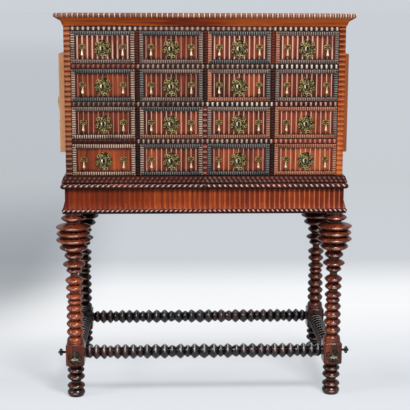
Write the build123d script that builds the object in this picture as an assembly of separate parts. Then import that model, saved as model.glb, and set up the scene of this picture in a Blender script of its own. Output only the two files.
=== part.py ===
from build123d import *
import math
import os

# A cabinet of sixteen drawers (contador or vargueno type) on a knock-down stand with disc-turned legs.
# Millimetres. +Z is up, -Y is the front, and the origin lies on the floor under the middle of the stand.

# ---- driving dimensions of the case
DRAWER_COLUMNS = 4
DRAWER_ROWS = 4
OPENING_WIDTH = 213.5
OPENING_HEIGHT = 108.5
SIDE_BOARD = 22.0
PARTITION = 14.0
SHELF = 17.0
CASE_BOTTOM = 23.0
SUB_TOP = 16.0
BACK_BOARD = 10.0
CASE_DEPTH = 470.0
STRIP = 5.0
STRIP_BEVEL = 2.0

# ---- driving dimensions of the cornice
TOP_BOARD = 15.0
COVE_HEIGHT = 27.0
CORNICE_OVERHANG = 30.0
COVE_SETBACK = 6.0
COVE_FOOT = 3.0
COVE_RADIUS = 31.0

# ---- driving dimensions of a drawer
DRAWER_GAP = 0.75
DRAWER_FRONT = 18.0
DRAWER_SIDE = 9.0
DRAWER_BOTTOM = 7.0
DRAWER_HEADROOM = 12.0
DRAWER_REAR_GAP = 6.0
FRAME_WIDTH = 12.0
FRAME_PROUD = 5.0
FIELD_PROUD = 4.0
FIELD_MARGIN = 1.5
FIELD_BEVEL = 2.0

# ---- driving dimensions of the brass on a drawer
PLATE_WIDTH = 58.0
PLATE_HEIGHT = 68.0
PLATE_LOBES = 10
PLATE_NOTCH = 0.84
PLATE_THICK = 1.5
BOSS_RADIUS = 11.5
BOSS_TOP_RADIUS = 5.75
BOSS_PROUD = 5.0
BOSS_SIDES = 8
KEYHOLE_WIDTH = 3.0
KEYHOLE_HEIGHT = 9.0
PULL_SPREAD = 67.0
PULL_RISE = 5.0
ROSETTE_RADIUS = 10.0
ROSETTE_THICK = 1.5
ROSETTE_SIDES = 6
AXIS_PROUD = 5.5
CHEEK_THICK = 1.4
CHEEK_HEIGHT = 6.0
CHEEK_GAP = 0.35
DROP_LENGTH = 37.0
DROP_HEAD_RADIUS = 2.2
DROP_WAIST_RADIUS = 1.2
DROP_BELLY_RADIUS = 4.0
DROP_TIP_RADIUS = 1.6
DROP_WAIST_AT = 0.28
DROP_BELLY_AT = 0.78
DROP_SIDES = 6
LOCK_WIDTH = 44.0
LOCK_HEIGHT = 50.0
LOCK_THICK = 7.0

# ---- driving dimensions of the side panels and handles
PANEL_DEPTH = 300.0
PANEL_HEIGHT = 337.0
PANEL_PROUD = 26.0
PANEL_MOULDING = 34.0
PANEL_STEP = 18.0
PANEL_FIELD_BEVEL = 10.0
HANDLE_SPREAD = 104.0
HANDLE_DROP = 38.0
HANDLE_BAR = 8.0
HANDLE_FLAT = 52.0
HANDLE_SHOULDER = 19.0
HANDLE_EASE = 2.7
HANDLE_AXIS_PROUD = 11.0
HANDLE_RISE = 10.0
HANDLE_PLATE_RADIUS = 22.0
HANDLE_PLATE_THICK = 2.0
HANDLE_PLATE_SIDES = 8
HANDLE_LUG = 5.0
HANDLE_GAP = 0.5

# ---- driving dimensions of the stand
LEDGE_SIDEWAYS = 5.0
LEDGE_ENDWAYS = 8.0
FRIEZE_BELOW = 655.0
LOWER_MOULDING = 25.0
FRIEZE_HEIGHT = 56.0
UPPER_MOULDING = 24.0
FRIEZE_OUTSET = 25.0
FRIEZE_BOARD = 20.0
UPPER_MOULDING_PROUD = 12.0
LOWER_MOULDING_PROUD = 11.0
MOULDING_EDGE = 0.5
BASE_RAIL_EDGE = 8.0
BASE_RAIL_TOP_PROUD = 8.5
LEG_TENON = 28.0
LEG_TENON_LENGTH = 40.0
TENON_GAP = 0.2

# ---- driving dimensions of the turned work
BLOCK = 64.0
BLOCK_FLOOR = 112.0
BLOCK_HEIGHT = 81.0
STUB = 22.0
STUB_LENGTH = 12.0
STRETCHER_LENGTHWAYS_Z = 158.0
STRETCHER_SIDEWAYS_Z = 146.0
STRETCHER_RADIUS = 26.5
STRETCHER_GROOVE = 16.5
STRETCHER_END = 19.0
STRETCHER_PITCH = 29.0
TURNING_SIDES = 8

# ---- driving dimensions of the wing bolts
BOLT_RADIUS = 4.0
BOLT_SIDES = 8
BOLT_HOLE_RADIUS = 4.6
BOLT_REACH = 34.0
BOLT_STANDOFF = 12.0
WING_SPAN = 26.0
WING_HEIGHT = 17.0
WING_NOTCH = 8.5
WING_THICK = 5.0
BOLT_PLATE = 50.0
BOLT_PLATE_THICK = 2.0
BOLT_PLATE_SIDES = 8

# ---- the turner's rod of a leg, marked with each disc: its place as a share of the length that is turned,
# ---- its radius, and the radius of the groove above it
FOOT_DISCS = [
    (0.148, 31.0, 26.5),
    (0.334, 31.0, 17.5),
    (0.621, 31.5, 22.5),
    (0.844, 30.0, 21.0),
]
SHAFT_DISCS = [
    (0.086, 30.5, 20.5),
    (0.149, 31.0, 20.5),
    (0.207, 30.5, 20.5),
    (0.271, 30.0, 20.0),
    (0.360, 31.0, 16.0),
    (0.426, 30.5, 21.0),
    (0.486, 32.5, 12.5),
    (0.561, 27.5, 21.5),
    (0.608, 39.0, 18.5),
    (0.673, 32.5, 23.5),
    (0.736, 48.5, 39.0),
    (0.794, 60.0, 46.0),
    (0.842, 58.0, 45.0),
    (0.893, 60.0, 24.0),
    (0.970, 41.0, 34.0),
]
FOOT_RADIUS = 24.0
SHAFT_RADIUS = 30.0

# ---- sizes that follow from the driving dimensions
INNER_WIDTH = DRAWER_COLUMNS * OPENING_WIDTH + (DRAWER_COLUMNS - 1) * PARTITION
CASE_WIDTH = INNER_WIDTH + 2 * SIDE_BOARD
STAND_TOP = FRIEZE_BELOW + LOWER_MOULDING + FRIEZE_HEIGHT + UPPER_MOULDING
OPENINGS_FLOOR = STAND_TOP + CASE_BOTTOM
OPENINGS_TOP = OPENINGS_FLOOR + DRAWER_ROWS * OPENING_HEIGHT + (DRAWER_ROWS - 1) * SHELF
CASE_TOP = OPENINGS_TOP + SUB_TOP
BOARD_FLOOR = CASE_TOP + COVE_HEIGHT
CASE_FRONT = -CASE_DEPTH / 2
CASE_REAR = CASE_DEPTH / 2
BOARD_FRONT = CASE_FRONT + STRIP
CARCASS_DEPTH = CASE_REAR - BOARD_FRONT
FRIEZE_WIDTH = CASE_WIDTH + 2 * LEDGE_SIDEWAYS
FRIEZE_DEPTH = CASE_DEPTH + 2 * LEDGE_ENDWAYS
LEG_SPACING_X = FRIEZE_WIDTH - 2 * FRIEZE_OUTSET
LEG_SPACING_Y = FRIEZE_DEPTH - 2 * FRIEZE_OUTSET
BASE_RAIL_PROUD = LEDGE_SIDEWAYS + UPPER_MOULDING_PROUD
BLOCK_TOP = BLOCK_FLOOR + BLOCK_HEIGHT
DRAWER_WIDTH = OPENING_WIDTH - 2 * DRAWER_GAP
DRAWER_HEIGHT = OPENING_HEIGHT - 2 * DRAWER_GAP
DRAWER_DEPTH = CARCASS_DEPTH - BACK_BOARD - DRAWER_REAR_GAP
FIELD_FRONT = BOARD_FRONT - FIELD_PROUD
PULL_AXIS = FIELD_FRONT - ROSETTE_THICK - AXIS_PROUD


def board(x, y, z):
    """A squared board from its two limits along each axis."""
    centre = ((x[0] + x[1]) / 2, (y[0] + y[1]) / 2, (z[0] + z[1]) / 2)
    return Pos(*centre) * Box(x[1] - x[0], y[1] - y[0], z[1] - z[0])


def narrowing(section, height, inset):
    """Extrude a section in the XY plane upwards while its edges move in by the inset."""
    return extrude(section, height, taper=math.degrees(math.atan2(inset, height)))


def mitred_length(section, run, left, right):
    """A moulding along X with its back on Y = 0 and its foot on Z = 0; its section is drawn as (proud, up).

    The back is as long as the run. An end mitre of 1 grows towards the face, -1 shrinks and 0 is square.
    """
    proud = section.bounding_box().max.X
    height = section.bounding_box().max.Y
    half = run / 2
    across = Plane(origin=(0, 0, 0), x_dir=(0, -1, 0), z_dir=(-1, 0, 0))
    bar = extrude(across * section, half + proud, both=True)
    face = [(half + right * proud, -proud), (-half - left * proud, -proud)]
    plan = Polyline((-half, 0), (half, 0), *face, close=True)
    return bar & extrude(make_face(plan), height)


FOUR_SIDES = ((0, 1, 1), (90, 1, 1), (180, 1, 1), (270, 1, 1))
FRONT_AND_SIDES = ((0, 1, 1), (90, 1, 0), (270, 0, 1))


def mitred_lengths(section, width, depth, sides, outward=1):
    """Mitred lengths round a rectangle centred on the origin: outside it, or inside it with outward -1."""
    lengths = []
    for turn, left, right in sides:
        run, across = (width, depth) if turn % 180 == 0 else (depth, width)
        length = mitred_length(section, run, outward * left, outward * right)
        lengths.append(Rot(0, 0, turn) * Pos(0, -outward * across / 2, 0) * length)
    return lengths


def save(pieces, node):
    """Write one sub-part; its pieces stay separate solids."""
    export_step(Compound(children=pieces), f"parts/{node}.step")


def column_left(column):
    """Left limit of a column of openings, counted from 1."""
    return -INNER_WIDTH / 2 + (column - 1) * (OPENING_WIDTH + PARTITION)


def row_floor(row):
    """Floor of a row of openings, counted from 1 at the top."""
    return OPENINGS_FLOOR + (DRAWER_ROWS - row) * (OPENING_HEIGHT + SHELF)


# ---- the case
def case_carcass():
    side_inner = INNER_WIDTH / 2
    side_outer = CASE_WIDTH / 2
    depth = (BOARD_FRONT, CASE_REAR)
    inside = (-side_inner, side_inner)
    left = board((-side_outer, -side_inner), depth, (STAND_TOP, CASE_TOP))
    right = board((side_inner, side_outer), depth, (STAND_TOP, CASE_TOP))
    bottom = board(inside, depth, (STAND_TOP, OPENINGS_FLOOR))
    sub_top = board(inside, depth, (OPENINGS_TOP, CASE_TOP))
    back = board(inside, (CASE_REAR - BACK_BOARD, CASE_REAR), (OPENINGS_FLOOR, OPENINGS_TOP))
    return [left, right, bottom, sub_top, back]


def drawer_dividers():
    depth = (BOARD_FRONT, CASE_REAR - BACK_BOARD)
    pieces = []
    for row in range(1, DRAWER_ROWS + 1):
        floor = row_floor(row)
        if row < DRAWER_ROWS:
            pieces.append(board((-INNER_WIDTH / 2, INNER_WIDTH / 2), depth, (floor - SHELF, floor)))
        for column in range(2, DRAWER_COLUMNS + 1):
            right = column_left(column)
            pieces.append(board((right - PARTITION, right), depth, (floor, floor + OPENING_HEIGHT)))
    return pieces


def ridged_strip(x, z):
    """A strip on the case front, narrower at its face than at its foot along both long edges."""
    width = x[1] - x[0]
    height = z[1] - z[0]
    half = min(width, height) / 2
    face = half - STRIP_BEVEL
    section = Polyline((-half, 0), (half, 0), (face, STRIP), (-face, STRIP), close=True)
    bar = extrude(make_face(section), max(width, height) / 2, both=True)
    turn = Rot(0, 0, 180) if height > width else Rot(0, 90, 0) * Rot(0, 0, 180)
    return Pos((x[0] + x[1]) / 2, BOARD_FRONT, (z[0] + z[1]) / 2) * turn * bar


def front_mouldings():
    outer = CASE_WIDTH / 2
    inner = INNER_WIDTH / 2
    pieces = [
        ridged_strip((-outer, -inner), (OPENINGS_FLOOR, CASE_TOP)),
        ridged_strip((inner, outer), (OPENINGS_FLOOR, CASE_TOP)),
        ridged_strip((-inner, inner), (OPENINGS_TOP, CASE_TOP)),
    ]
    for row in range(1, DRAWER_ROWS + 1):
        floor = row_floor(row)
        if row < DRAWER_ROWS:
            pieces.append(ridged_strip((-inner, inner), (floor - SHELF, floor)))
        for column in range(2, DRAWER_COLUMNS + 1):
            right = column_left(column)
            pieces.append(ridged_strip((right - PARTITION, right), (floor, floor + OPENING_HEIGHT)))
    return pieces + base_rail()


def base_rail():
    """The base moulding of the case, mitred round the front and both sides."""
    section = make_face(Polyline((0, 0), (BASE_RAIL_PROUD, 0), (BASE_RAIL_PROUD, BASE_RAIL_EDGE),
                                 (BASE_RAIL_TOP_PROUD, CASE_BOTTOM), (0, CASE_BOTTOM), close=True))
    lengths = mitred_lengths(section, CASE_WIDTH, CASE_DEPTH, FRONT_AND_SIDES)
    return [Pos(0, 0, STAND_TOP) * length for length in lengths]


def cove():
    """The hollow moulding under the top board, mitred round the front and both sides."""
    foot = (COVE_FOOT, 0)
    lip = (CORNICE_OVERHANG - COVE_SETBACK, COVE_HEIGHT)
    hollow = RadiusArc(foot, lip, COVE_RADIUS)
    section = make_face([hollow, Polyline(lip, (0, COVE_HEIGHT), (0, 0), foot)])
    lengths = mitred_lengths(section, CASE_WIDTH, CASE_DEPTH, FRONT_AND_SIDES)
    return [Pos(0, 0, CASE_TOP) * length for length in lengths]


def top_cornice():
    reach = CASE_WIDTH / 2 + CORNICE_OVERHANG
    top_depth = (CASE_FRONT - CORNICE_OVERHANG, CASE_REAR)
    top = board((-reach, reach), top_depth, (BOARD_FLOOR, BOARD_FLOOR + TOP_BOARD))
    outer = CASE_WIDTH / 2
    inner = INNER_WIDTH / 2
    height = (CASE_TOP, BOARD_FLOOR)
    front = board((-outer, outer), (CASE_FRONT, CASE_FRONT + SIDE_BOARD), height)
    rear = board((-outer, outer), (CASE_REAR - SIDE_BOARD, CASE_REAR), height)
    between = (CASE_FRONT + SIDE_BOARD, CASE_REAR - SIDE_BOARD)
    left = board((-outer, -inner), between, height)
    right = board((inner, outer), between, height)
    return [top, front, rear, left, right] + cove()


# ---- the side panels and their handles
PANEL_CENTRE = (STAND_TOP + CASE_TOP) / 2


def side_panel(side):
    """A raised panel: a bevelled field on a flat border."""
    face = Plane(origin=(side * CASE_WIDTH / 2, 0, PANEL_CENTRE), x_dir=(0, side, 0), z_dir=(side, 0, 0))
    border = extrude(face * Rectangle(PANEL_DEPTH, PANEL_HEIGHT), PANEL_STEP)
    section = Rectangle(PANEL_DEPTH - 2 * PANEL_MOULDING, PANEL_HEIGHT - 2 * PANEL_MOULDING)
    field = narrowing(section, PANEL_PROUD - PANEL_STEP, PANEL_FIELD_BEVEL)
    return [border, face.offset(PANEL_STEP).location * field]


HANDLE_FACE = CASE_WIDTH / 2 + PANEL_PROUD
HANDLE_AXIS = HANDLE_FACE + HANDLE_AXIS_PROUD
HANDLE_PIVOT = PANEL_CENTRE + HANDLE_RISE


def handle_plane(side, x):
    """A plane that faces away from the case, through the height of the handle's axis."""
    return Plane(origin=(side * x, 0, HANDLE_PIVOT), x_dir=(0, side, 0), z_dir=(side, 0, 0))


def side_handle(side):
    """A bail that hangs beside two lugs: two upright arms, two slanting shoulders and a flat grip."""
    head = HANDLE_BAR / 2
    inner = HANDLE_SPREAD / 2
    outer = inner + HANDLE_BAR
    flat = HANDLE_FLAT / 2
    shoulder = -HANDLE_SHOULDER
    foot = -HANDLE_DROP
    outside = [(outer, head), (outer, shoulder), (flat, foot),
               (-flat, foot), (-outer, shoulder), (-outer, head)]
    grip = flat - HANDLE_EASE
    arm_foot = shoulder + HANDLE_EASE
    inside = [(-inner, head), (-inner, arm_foot), (-grip, foot + HANDLE_BAR),
              (grip, foot + HANDLE_BAR), (inner, arm_foot), (inner, head)]
    bow = make_face(Polyline(*outside, *inside, close=True))
    return extrude(handle_plane(side, HANDLE_AXIS) * bow, head, both=True)


def handle_plates():
    """A round plate and a square lug inside each arm of both bails."""
    place = HANDLE_SPREAD / 2 - HANDLE_GAP - HANDLE_LUG / 2
    lug_length = HANDLE_AXIS_PROUD + HANDLE_BAR / 2 - HANDLE_PLATE_THICK
    pieces = []
    for side in (-1, 1):
        face = handle_plane(side, HANDLE_FACE)
        for end in (-1, 1):
            middle = Pos(end * place, 0)
            plate = face * middle * RegularPolygon(HANDLE_PLATE_RADIUS, HANDLE_PLATE_SIDES)
            pieces.append(extrude(plate, HANDLE_PLATE_THICK))
            lug = face.offset(HANDLE_PLATE_THICK) * middle * Rectangle(HANDLE_LUG, HANDLE_BAR)
            pieces.append(extrude(lug, lug_length))
    return pieces


# ---- the drawers: one is drawn with the middle of its front at X = 0, Z = 0, and set in every opening
def opening_middle(row, column):
    """Place of the middle of an opening."""
    return Pos(column_left(column) + OPENING_WIDTH / 2, 0, row_floor(row) + OPENING_HEIGHT / 2)


def drawer_box():
    """Front, frame, field, sides, back and bottom of one drawer, as separate pieces."""
    outer = DRAWER_WIDTH / 2
    inner = outer - DRAWER_SIDE
    top = DRAWER_HEIGHT / 2
    floor = -top
    front_rear = BOARD_FRONT + DRAWER_FRONT
    rear = BOARD_FRONT + DRAWER_DEPTH
    sides = (floor, top - DRAWER_HEADROOM)
    front = board((-outer, outer), (BOARD_FRONT, front_rear), (floor, top)) - keyhole()
    left = board((-outer, -inner), (front_rear, rear), sides)
    right = board((inner, outer), (front_rear, rear), sides)
    back = board((-inner, inner), (rear - DRAWER_SIDE, rear), sides)
    bottom = board((-inner, inner), (front_rear, rear - DRAWER_SIDE), (floor, floor + DRAWER_BOTTOM))
    return [front, drawer_field(), left, right, back, bottom] + drawer_frame()


def front_plane(y, x=0.0):
    """A plane that faces the front, with its x to the right and its y up."""
    return Plane(origin=(x, y, 0), x_dir=(1, 0, 0), z_dir=(0, -1, 0))


def drawer_frame():
    """The mitred frame that is glued round the edge of a drawer front."""
    section = Rectangle(FRAME_WIDTH, FRAME_PROUD, align=Align.MIN)
    lengths = mitred_lengths(section, DRAWER_WIDTH, DRAWER_HEIGHT, FOUR_SIDES, outward=-1)
    return [front_plane(BOARD_FRONT).location * length for length in lengths]


def drawer_field():
    """The raised field inside the frame, with bevelled edges and a hole for the key."""
    width = DRAWER_WIDTH - 2 * (FRAME_WIDTH + FIELD_MARGIN)
    height = DRAWER_HEIGHT - 2 * (FRAME_WIDTH + FIELD_MARGIN)
    field = narrowing(Rectangle(width, height), FIELD_PROUD, FIELD_BEVEL)
    return front_plane(BOARD_FRONT).location * field - keyhole()


def keyhole():
    """The cut of the keyhole, from the boss through the field and the front to the lock."""
    slot = front_plane(BOARD_FRONT + DRAWER_FRONT) * Rectangle(KEYHOLE_WIDTH, KEYHOLE_HEIGHT)
    return extrude(slot, DRAWER_FRONT + FIELD_PROUD + PLATE_THICK + BOSS_PROUD)


def escutcheon():
    """A scalloped plate, a little taller than wide, with a domed boss round the keyhole."""
    points = []
    for step in range(2 * PLATE_LOBES):
        angle = math.pi / 2 + step * math.pi / PLATE_LOBES
        reach = 1.0 if step % 2 == 0 else PLATE_NOTCH
        points.append((reach * PLATE_WIDTH / 2 * math.cos(angle), reach * PLATE_HEIGHT / 2 * math.sin(angle)))
    plate = extrude(front_plane(FIELD_FRONT) * make_face(Polyline(*points, close=True)), PLATE_THICK)
    boss = narrowing(RegularPolygon(BOSS_RADIUS, BOSS_SIDES), BOSS_PROUD, BOSS_RADIUS - BOSS_TOP_RADIUS)
    return plate + front_plane(FIELD_FRONT - PLATE_THICK).location * boss - keyhole()


def rosette(x):
    """A small backplate and the two cheeks that hold the head of a drop."""
    outline = front_plane(FIELD_FRONT, x) * RegularPolygon(ROSETTE_RADIUS, ROSETTE_SIDES)
    offset = DROP_HEAD_RADIUS + CHEEK_GAP + CHEEK_THICK / 2
    pieces = [extrude(outline, ROSETTE_THICK)]
    for side in (-1, 1):
        foot = front_plane(FIELD_FRONT - ROSETTE_THICK, x + side * offset)
        pieces.append(extrude(foot * Rectangle(CHEEK_THICK, CHEEK_HEIGHT), AXIS_PROUD + DROP_HEAD_RADIUS))
    return [Pos(0, 0, PULL_RISE) * piece for piece in pieces]


def drawer_brass():
    """The escutcheon, the lock behind the front, and both rosettes."""
    front_rear = BOARD_FRONT + DRAWER_FRONT
    lock = board((-LOCK_WIDTH / 2, LOCK_WIDTH / 2), (front_rear, front_rear + LOCK_THICK),
                 (-LOCK_HEIGHT / 2, LOCK_HEIGHT / 2))
    return [escutcheon(), lock] + rosette(-PULL_SPREAD) + rosette(PULL_SPREAD)


def drawer_pulls():
    """Two tear drops that hang down from their heads, with flats all round."""
    stations = [
        (DROP_HEAD_RADIUS - DROP_LENGTH, DROP_TIP_RADIUS),
        (-DROP_BELLY_AT * DROP_LENGTH, DROP_BELLY_RADIUS),
        (-DROP_WAIST_AT * DROP_LENGTH, DROP_WAIST_RADIUS),
        (DROP_HEAD_RADIUS, DROP_HEAD_RADIUS),
    ]
    drop = turning(stations, DROP_SIDES)
    return [Pos(side * PULL_SPREAD, PULL_AXIS, PULL_RISE) * drop for side in (-1, 1)]


# ---- the stand
def frieze_moulding(floor, height, proud):
    """A moulding mitred round all four sides of the frieze, with a ridge at the middle of its height."""
    edge = MOULDING_EDGE * proud
    outline = Polyline((0, 0), (edge, 0), (proud, height / 2), (edge, height), (0, height), close=True)
    lengths = mitred_lengths(make_face(outline), FRIEZE_WIDTH, FRIEZE_DEPTH, FOUR_SIDES)
    return [Pos(0, 0, floor) * length for length in lengths]


def corner_post(x_side, y_side):
    """The post at a corner of the frieze, with the mortise for the leg below it."""
    half = FRIEZE_OUTSET
    mortise = LEG_TENON / 2 + TENON_GAP
    post = board((-half, half), (-half, half), (FRIEZE_BELOW, STAND_TOP))
    post -= board((-mortise, mortise), (-mortise, mortise),
                  (FRIEZE_BELOW, FRIEZE_BELOW + LEG_TENON_LENGTH + TENON_GAP))
    return Pos(x_side * LEG_SPACING_X / 2, y_side * LEG_SPACING_Y / 2, 0) * post


def stand_frame():
    """Four posts, four frieze boards between them, and the two mouldings outside."""
    height = (FRIEZE_BELOW, STAND_TOP)
    between_x = LEG_SPACING_X / 2 - FRIEZE_OUTSET
    between_y = LEG_SPACING_Y / 2 - FRIEZE_OUTSET
    pieces = frieze_moulding(FRIEZE_BELOW, LOWER_MOULDING, LOWER_MOULDING_PROUD)
    pieces += frieze_moulding(STAND_TOP - UPPER_MOULDING, UPPER_MOULDING, UPPER_MOULDING_PROUD)
    for side in (-1, 1):
        along = sorted((side * FRIEZE_DEPTH / 2, side * (FRIEZE_DEPTH / 2 - FRIEZE_BOARD)))
        pieces.append(board((-between_x, between_x), along, height))
        across = sorted((side * FRIEZE_WIDTH / 2, side * (FRIEZE_WIDTH / 2 - FRIEZE_BOARD)))
        pieces.append(board(across, (-between_y, between_y), height))
    return pieces + [corner_post(x_side, y_side) for x_side in (-1, 1) for y_side in (-1, 1)]


def turned_stage(low, high, sides):
    """The part of a turning between two heights, each given with its radius."""
    wide, slim = (low, high) if low[1] > high[1] else (high, low)
    height = high[0] - low[0]
    inset = (wide[1] - slim[1]) * math.cos(math.pi / sides)
    stage = narrowing(RegularPolygon(wide[1], sides), height, inset)
    if wide is high:
        stage = Rot(180, 0, 0) * stage
    return Pos(0, 0, wide[0]) * stage


def turning(stations, sides=TURNING_SIDES):
    """A turned piece about the Z axis from its heights and radii; the circle is cut in flats."""
    return Part() + [turned_stage(low, high, sides) for low, high in zip(stations, stations[1:])]


def with_grooves(discs, first, last):
    """Stations of a stack of sharp discs from the first to the last height, with a V groove between them.

    Each disc is given by its place as a share of the length, its radius and the radius of the next groove.
    """
    floor = first[0]
    length = last[0] - floor
    stations = [first]
    for number, (share, radius, groove) in enumerate(discs):
        stations.append((floor + share * length, radius))
        if number + 1 < len(discs):
            middle = (share + discs[number + 1][0]) / 2
            stations.append((floor + middle * length, groove))
    return stations + [last]


def bolt_hole(length):
    """A hole for a bolt about the Z axis, with the bolt's flats."""
    return extrude(RegularPolygon(BOLT_HOLE_RADIUS, BOLT_SIDES), length / 2, both=True)


def leg_body():
    """Foot and lower discs, a square block with its bolt holes, the tall stack of discs and the tenon."""
    foot = turning(with_grooves(FOOT_DISCS, (0, FOOT_RADIUS), (BLOCK_FLOOR, FOOT_DISCS[-1][2])))
    shaft = turning(with_grooves(SHAFT_DISCS, (BLOCK_TOP, SHAFT_RADIUS), (FRIEZE_BELOW, SHAFT_DISCS[-1][2])))
    block = board((-BLOCK / 2, BLOCK / 2), (-BLOCK / 2, BLOCK / 2), (BLOCK_FLOOR, BLOCK_TOP))
    block -= Pos(0, 0, STRETCHER_LENGTHWAYS_Z) * Rot(0, 90, 0) * bolt_hole(BLOCK)
    block -= Pos(0, 0, STRETCHER_SIDEWAYS_Z) * Rot(90, 0, 0) * bolt_hole(BLOCK)
    tenon = board((-LEG_TENON / 2, LEG_TENON / 2), (-LEG_TENON / 2, LEG_TENON / 2),
                  (FRIEZE_BELOW, FRIEZE_BELOW + LEG_TENON_LENGTH))
    return foot + block + shaft + tenon


def stand_legs():
    """Four legs, alike but for the two mortises that face the stretchers."""
    body = leg_body()
    mortise = STUB + 2 * TENON_GAP
    depth = STUB_LENGTH + TENON_GAP
    inward = BLOCK / 2 - depth / 2
    legs = []
    for x_side in (-1, 1):
        for y_side in (-1, 1):
            lengthways = Pos(-x_side * inward, 0, STRETCHER_LENGTHWAYS_Z) * Box(depth, mortise, mortise)
            sideways = Pos(0, -y_side * inward, STRETCHER_SIDEWAYS_Z) * Box(mortise, depth, mortise)
            place = Pos(x_side * LEG_SPACING_X / 2, y_side * LEG_SPACING_Y / 2, 0)
            legs.append(place * (body - lengthways - sideways))
    return legs


def stretcher(span):
    """A turned bar along Z, centred on the origin, with a stub tenon at each end."""
    count = max(2, round(span / STRETCHER_PITCH))
    discs = [((number + 0.5) / count, STRETCHER_RADIUS, STRETCHER_GROOVE) for number in range(count)]
    bar = turning(with_grooves(discs, (-span / 2, STRETCHER_END), (span / 2, STRETCHER_END)))
    bore = BOLT_REACH + STUB_LENGTH
    for end in (-1, 1):
        bar += Pos(0, 0, end * (span + STUB_LENGTH) / 2) * Box(STUB, STUB, STUB_LENGTH)
        bar -= Pos(0, 0, end * (span / 2 + STUB_LENGTH - bore / 2)) * bolt_hole(bore)
    return bar


def stand_stretchers():
    """Two long stretchers at the front and rear, and two short ones a little lower at the sides."""
    lengthways = Rot(0, 90, 0) * stretcher(LEG_SPACING_X - BLOCK)
    sideways = Rot(90, 0, 0) * stretcher(LEG_SPACING_Y - BLOCK)
    pieces = []
    for side in (-1, 1):
        pieces.append(Pos(0, side * LEG_SPACING_Y / 2, STRETCHER_LENGTHWAYS_Z) * lengthways)
        pieces.append(Pos(side * LEG_SPACING_X / 2, 0, STRETCHER_SIDEWAYS_Z) * sideways)
    return pieces


def wing_bolt():
    """A forged bolt that enters a block face at Z = 0 along +Z, with its wing outside in the XZ plane."""
    shank = extrude(RegularPolygon(BOLT_RADIUS, BOLT_SIDES), BOLT_STANDOFF + BLOCK + BOLT_REACH)
    half = WING_SPAN / 2
    outline = Polyline((-BOLT_RADIUS, 0), (BOLT_RADIUS, 0), (half, -WING_HEIGHT), (0, -WING_NOTCH),
                       (-half, -WING_HEIGHT), close=True)
    wing = extrude(Plane.XZ * make_face(outline), WING_THICK / 2, both=True)
    return Pos(0, 0, -BOLT_STANDOFF) * (shank + wing)


def bolt_plate():
    """The plate under the wing of a front or rear bolt."""
    ring = RegularPolygon(BOLT_PLATE / 2, BOLT_PLATE_SIDES) - RegularPolygon(BOLT_HOLE_RADIUS, BOLT_SIDES)
    return Pos(0, 0, -BOLT_PLATE_THICK) * extrude(ring, BOLT_PLATE_THICK)


def wing_bolts():
    """Two bolts in each block, one from the side and one with a plate from the front or the rear."""
    bolt = wing_bolt()
    plate = bolt_plate()
    pieces = []
    for x_side in (-1, 1):
        for y_side in (-1, 1):
            x = x_side * LEG_SPACING_X / 2
            y = y_side * LEG_SPACING_Y / 2
            side_face = (x + x_side * BLOCK / 2, y, STRETCHER_LENGTHWAYS_Z)
            end_face = (x, y + y_side * BLOCK / 2, STRETCHER_SIDEWAYS_Z)
            sideways = Plane(origin=side_face, x_dir=(0, 0, 1), z_dir=(-x_side, 0, 0)).location
            endways = Plane(origin=end_face, x_dir=(1, 0, 0), z_dir=(0, -y_side, 0)).location
            pieces += [sideways * bolt, endways * bolt, endways * plate]
    return pieces


os.makedirs("parts", exist_ok=True)

save(case_carcass(), "case_carcass")
save(drawer_dividers(), "drawer_dividers")
save(front_mouldings(), "front_mouldings")
save(top_cornice(), "top_cornice")
save(side_panel(-1) + side_panel(1), "side_panels")
save([side_handle(-1)], "left_handle")
save([side_handle(1)], "right_handle")
save(handle_plates(), "handle_plates")
save(stand_frame(), "stand_frame")
save(stand_legs(), "stand_legs")
save(stand_stretchers(), "stand_stretchers")
save(wing_bolts(), "wing_bolts")

box = drawer_box()
brass = drawer_brass()
pulls = drawer_pulls()
for row in range(1, DRAWER_ROWS + 1):
    for column in range(1, DRAWER_COLUMNS + 1):
        place = opening_middle(row, column)
        name = f"drawer_r{row}c{column}"
        save([place * piece for piece in box], name)
        save([place * piece for piece in brass], f"{name}_brass")
        save([place * piece for piece in pulls], f"{name}_pulls")
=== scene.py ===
# %% [markdown]
# # A cabinet of sixteen drawers on a turned stand
# A cabinet maker joins the case and its stand from plain boards, and then covers every edge that
# shows with rippled rosewood. The plain boards are already drawn as solids. This lesson loads them as
# a fixed frame and works out the rippled, turned, fluted and pierced surfaces that go over them.

# %% Load the frame
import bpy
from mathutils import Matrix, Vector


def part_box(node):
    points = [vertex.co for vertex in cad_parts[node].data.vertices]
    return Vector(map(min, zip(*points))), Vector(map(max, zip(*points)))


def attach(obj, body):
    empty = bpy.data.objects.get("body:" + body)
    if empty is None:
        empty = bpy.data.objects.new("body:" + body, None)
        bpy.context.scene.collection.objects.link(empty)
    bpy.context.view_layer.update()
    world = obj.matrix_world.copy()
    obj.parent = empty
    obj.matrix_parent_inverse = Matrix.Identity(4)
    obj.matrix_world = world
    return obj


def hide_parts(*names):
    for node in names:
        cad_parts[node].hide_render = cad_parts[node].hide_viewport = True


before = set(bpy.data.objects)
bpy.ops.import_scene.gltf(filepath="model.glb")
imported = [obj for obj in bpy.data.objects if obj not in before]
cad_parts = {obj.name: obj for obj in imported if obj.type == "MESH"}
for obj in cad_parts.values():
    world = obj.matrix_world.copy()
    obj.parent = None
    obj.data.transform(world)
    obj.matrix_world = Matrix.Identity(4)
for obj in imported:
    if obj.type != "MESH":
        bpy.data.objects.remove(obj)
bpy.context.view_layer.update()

# %% [markdown]
# ## A shape is a few arrays
# In a workshop a piece starts as stock and is cut down. Here it starts as a net of points, worked out
# all at once as arrays, and faces join neighbours on the net. Blender's own cubes and cylinders could
# be pushed into shape one point at a time, but a formula over a net is shorter, exact and quick.
# Sizes are written in millimetres, as on a drawing, and become metres as a mesh is made.

# %% The shape, and which way its faces point
import math

import bpy
import numpy as np
from mathutils import Matrix, Vector


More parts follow.
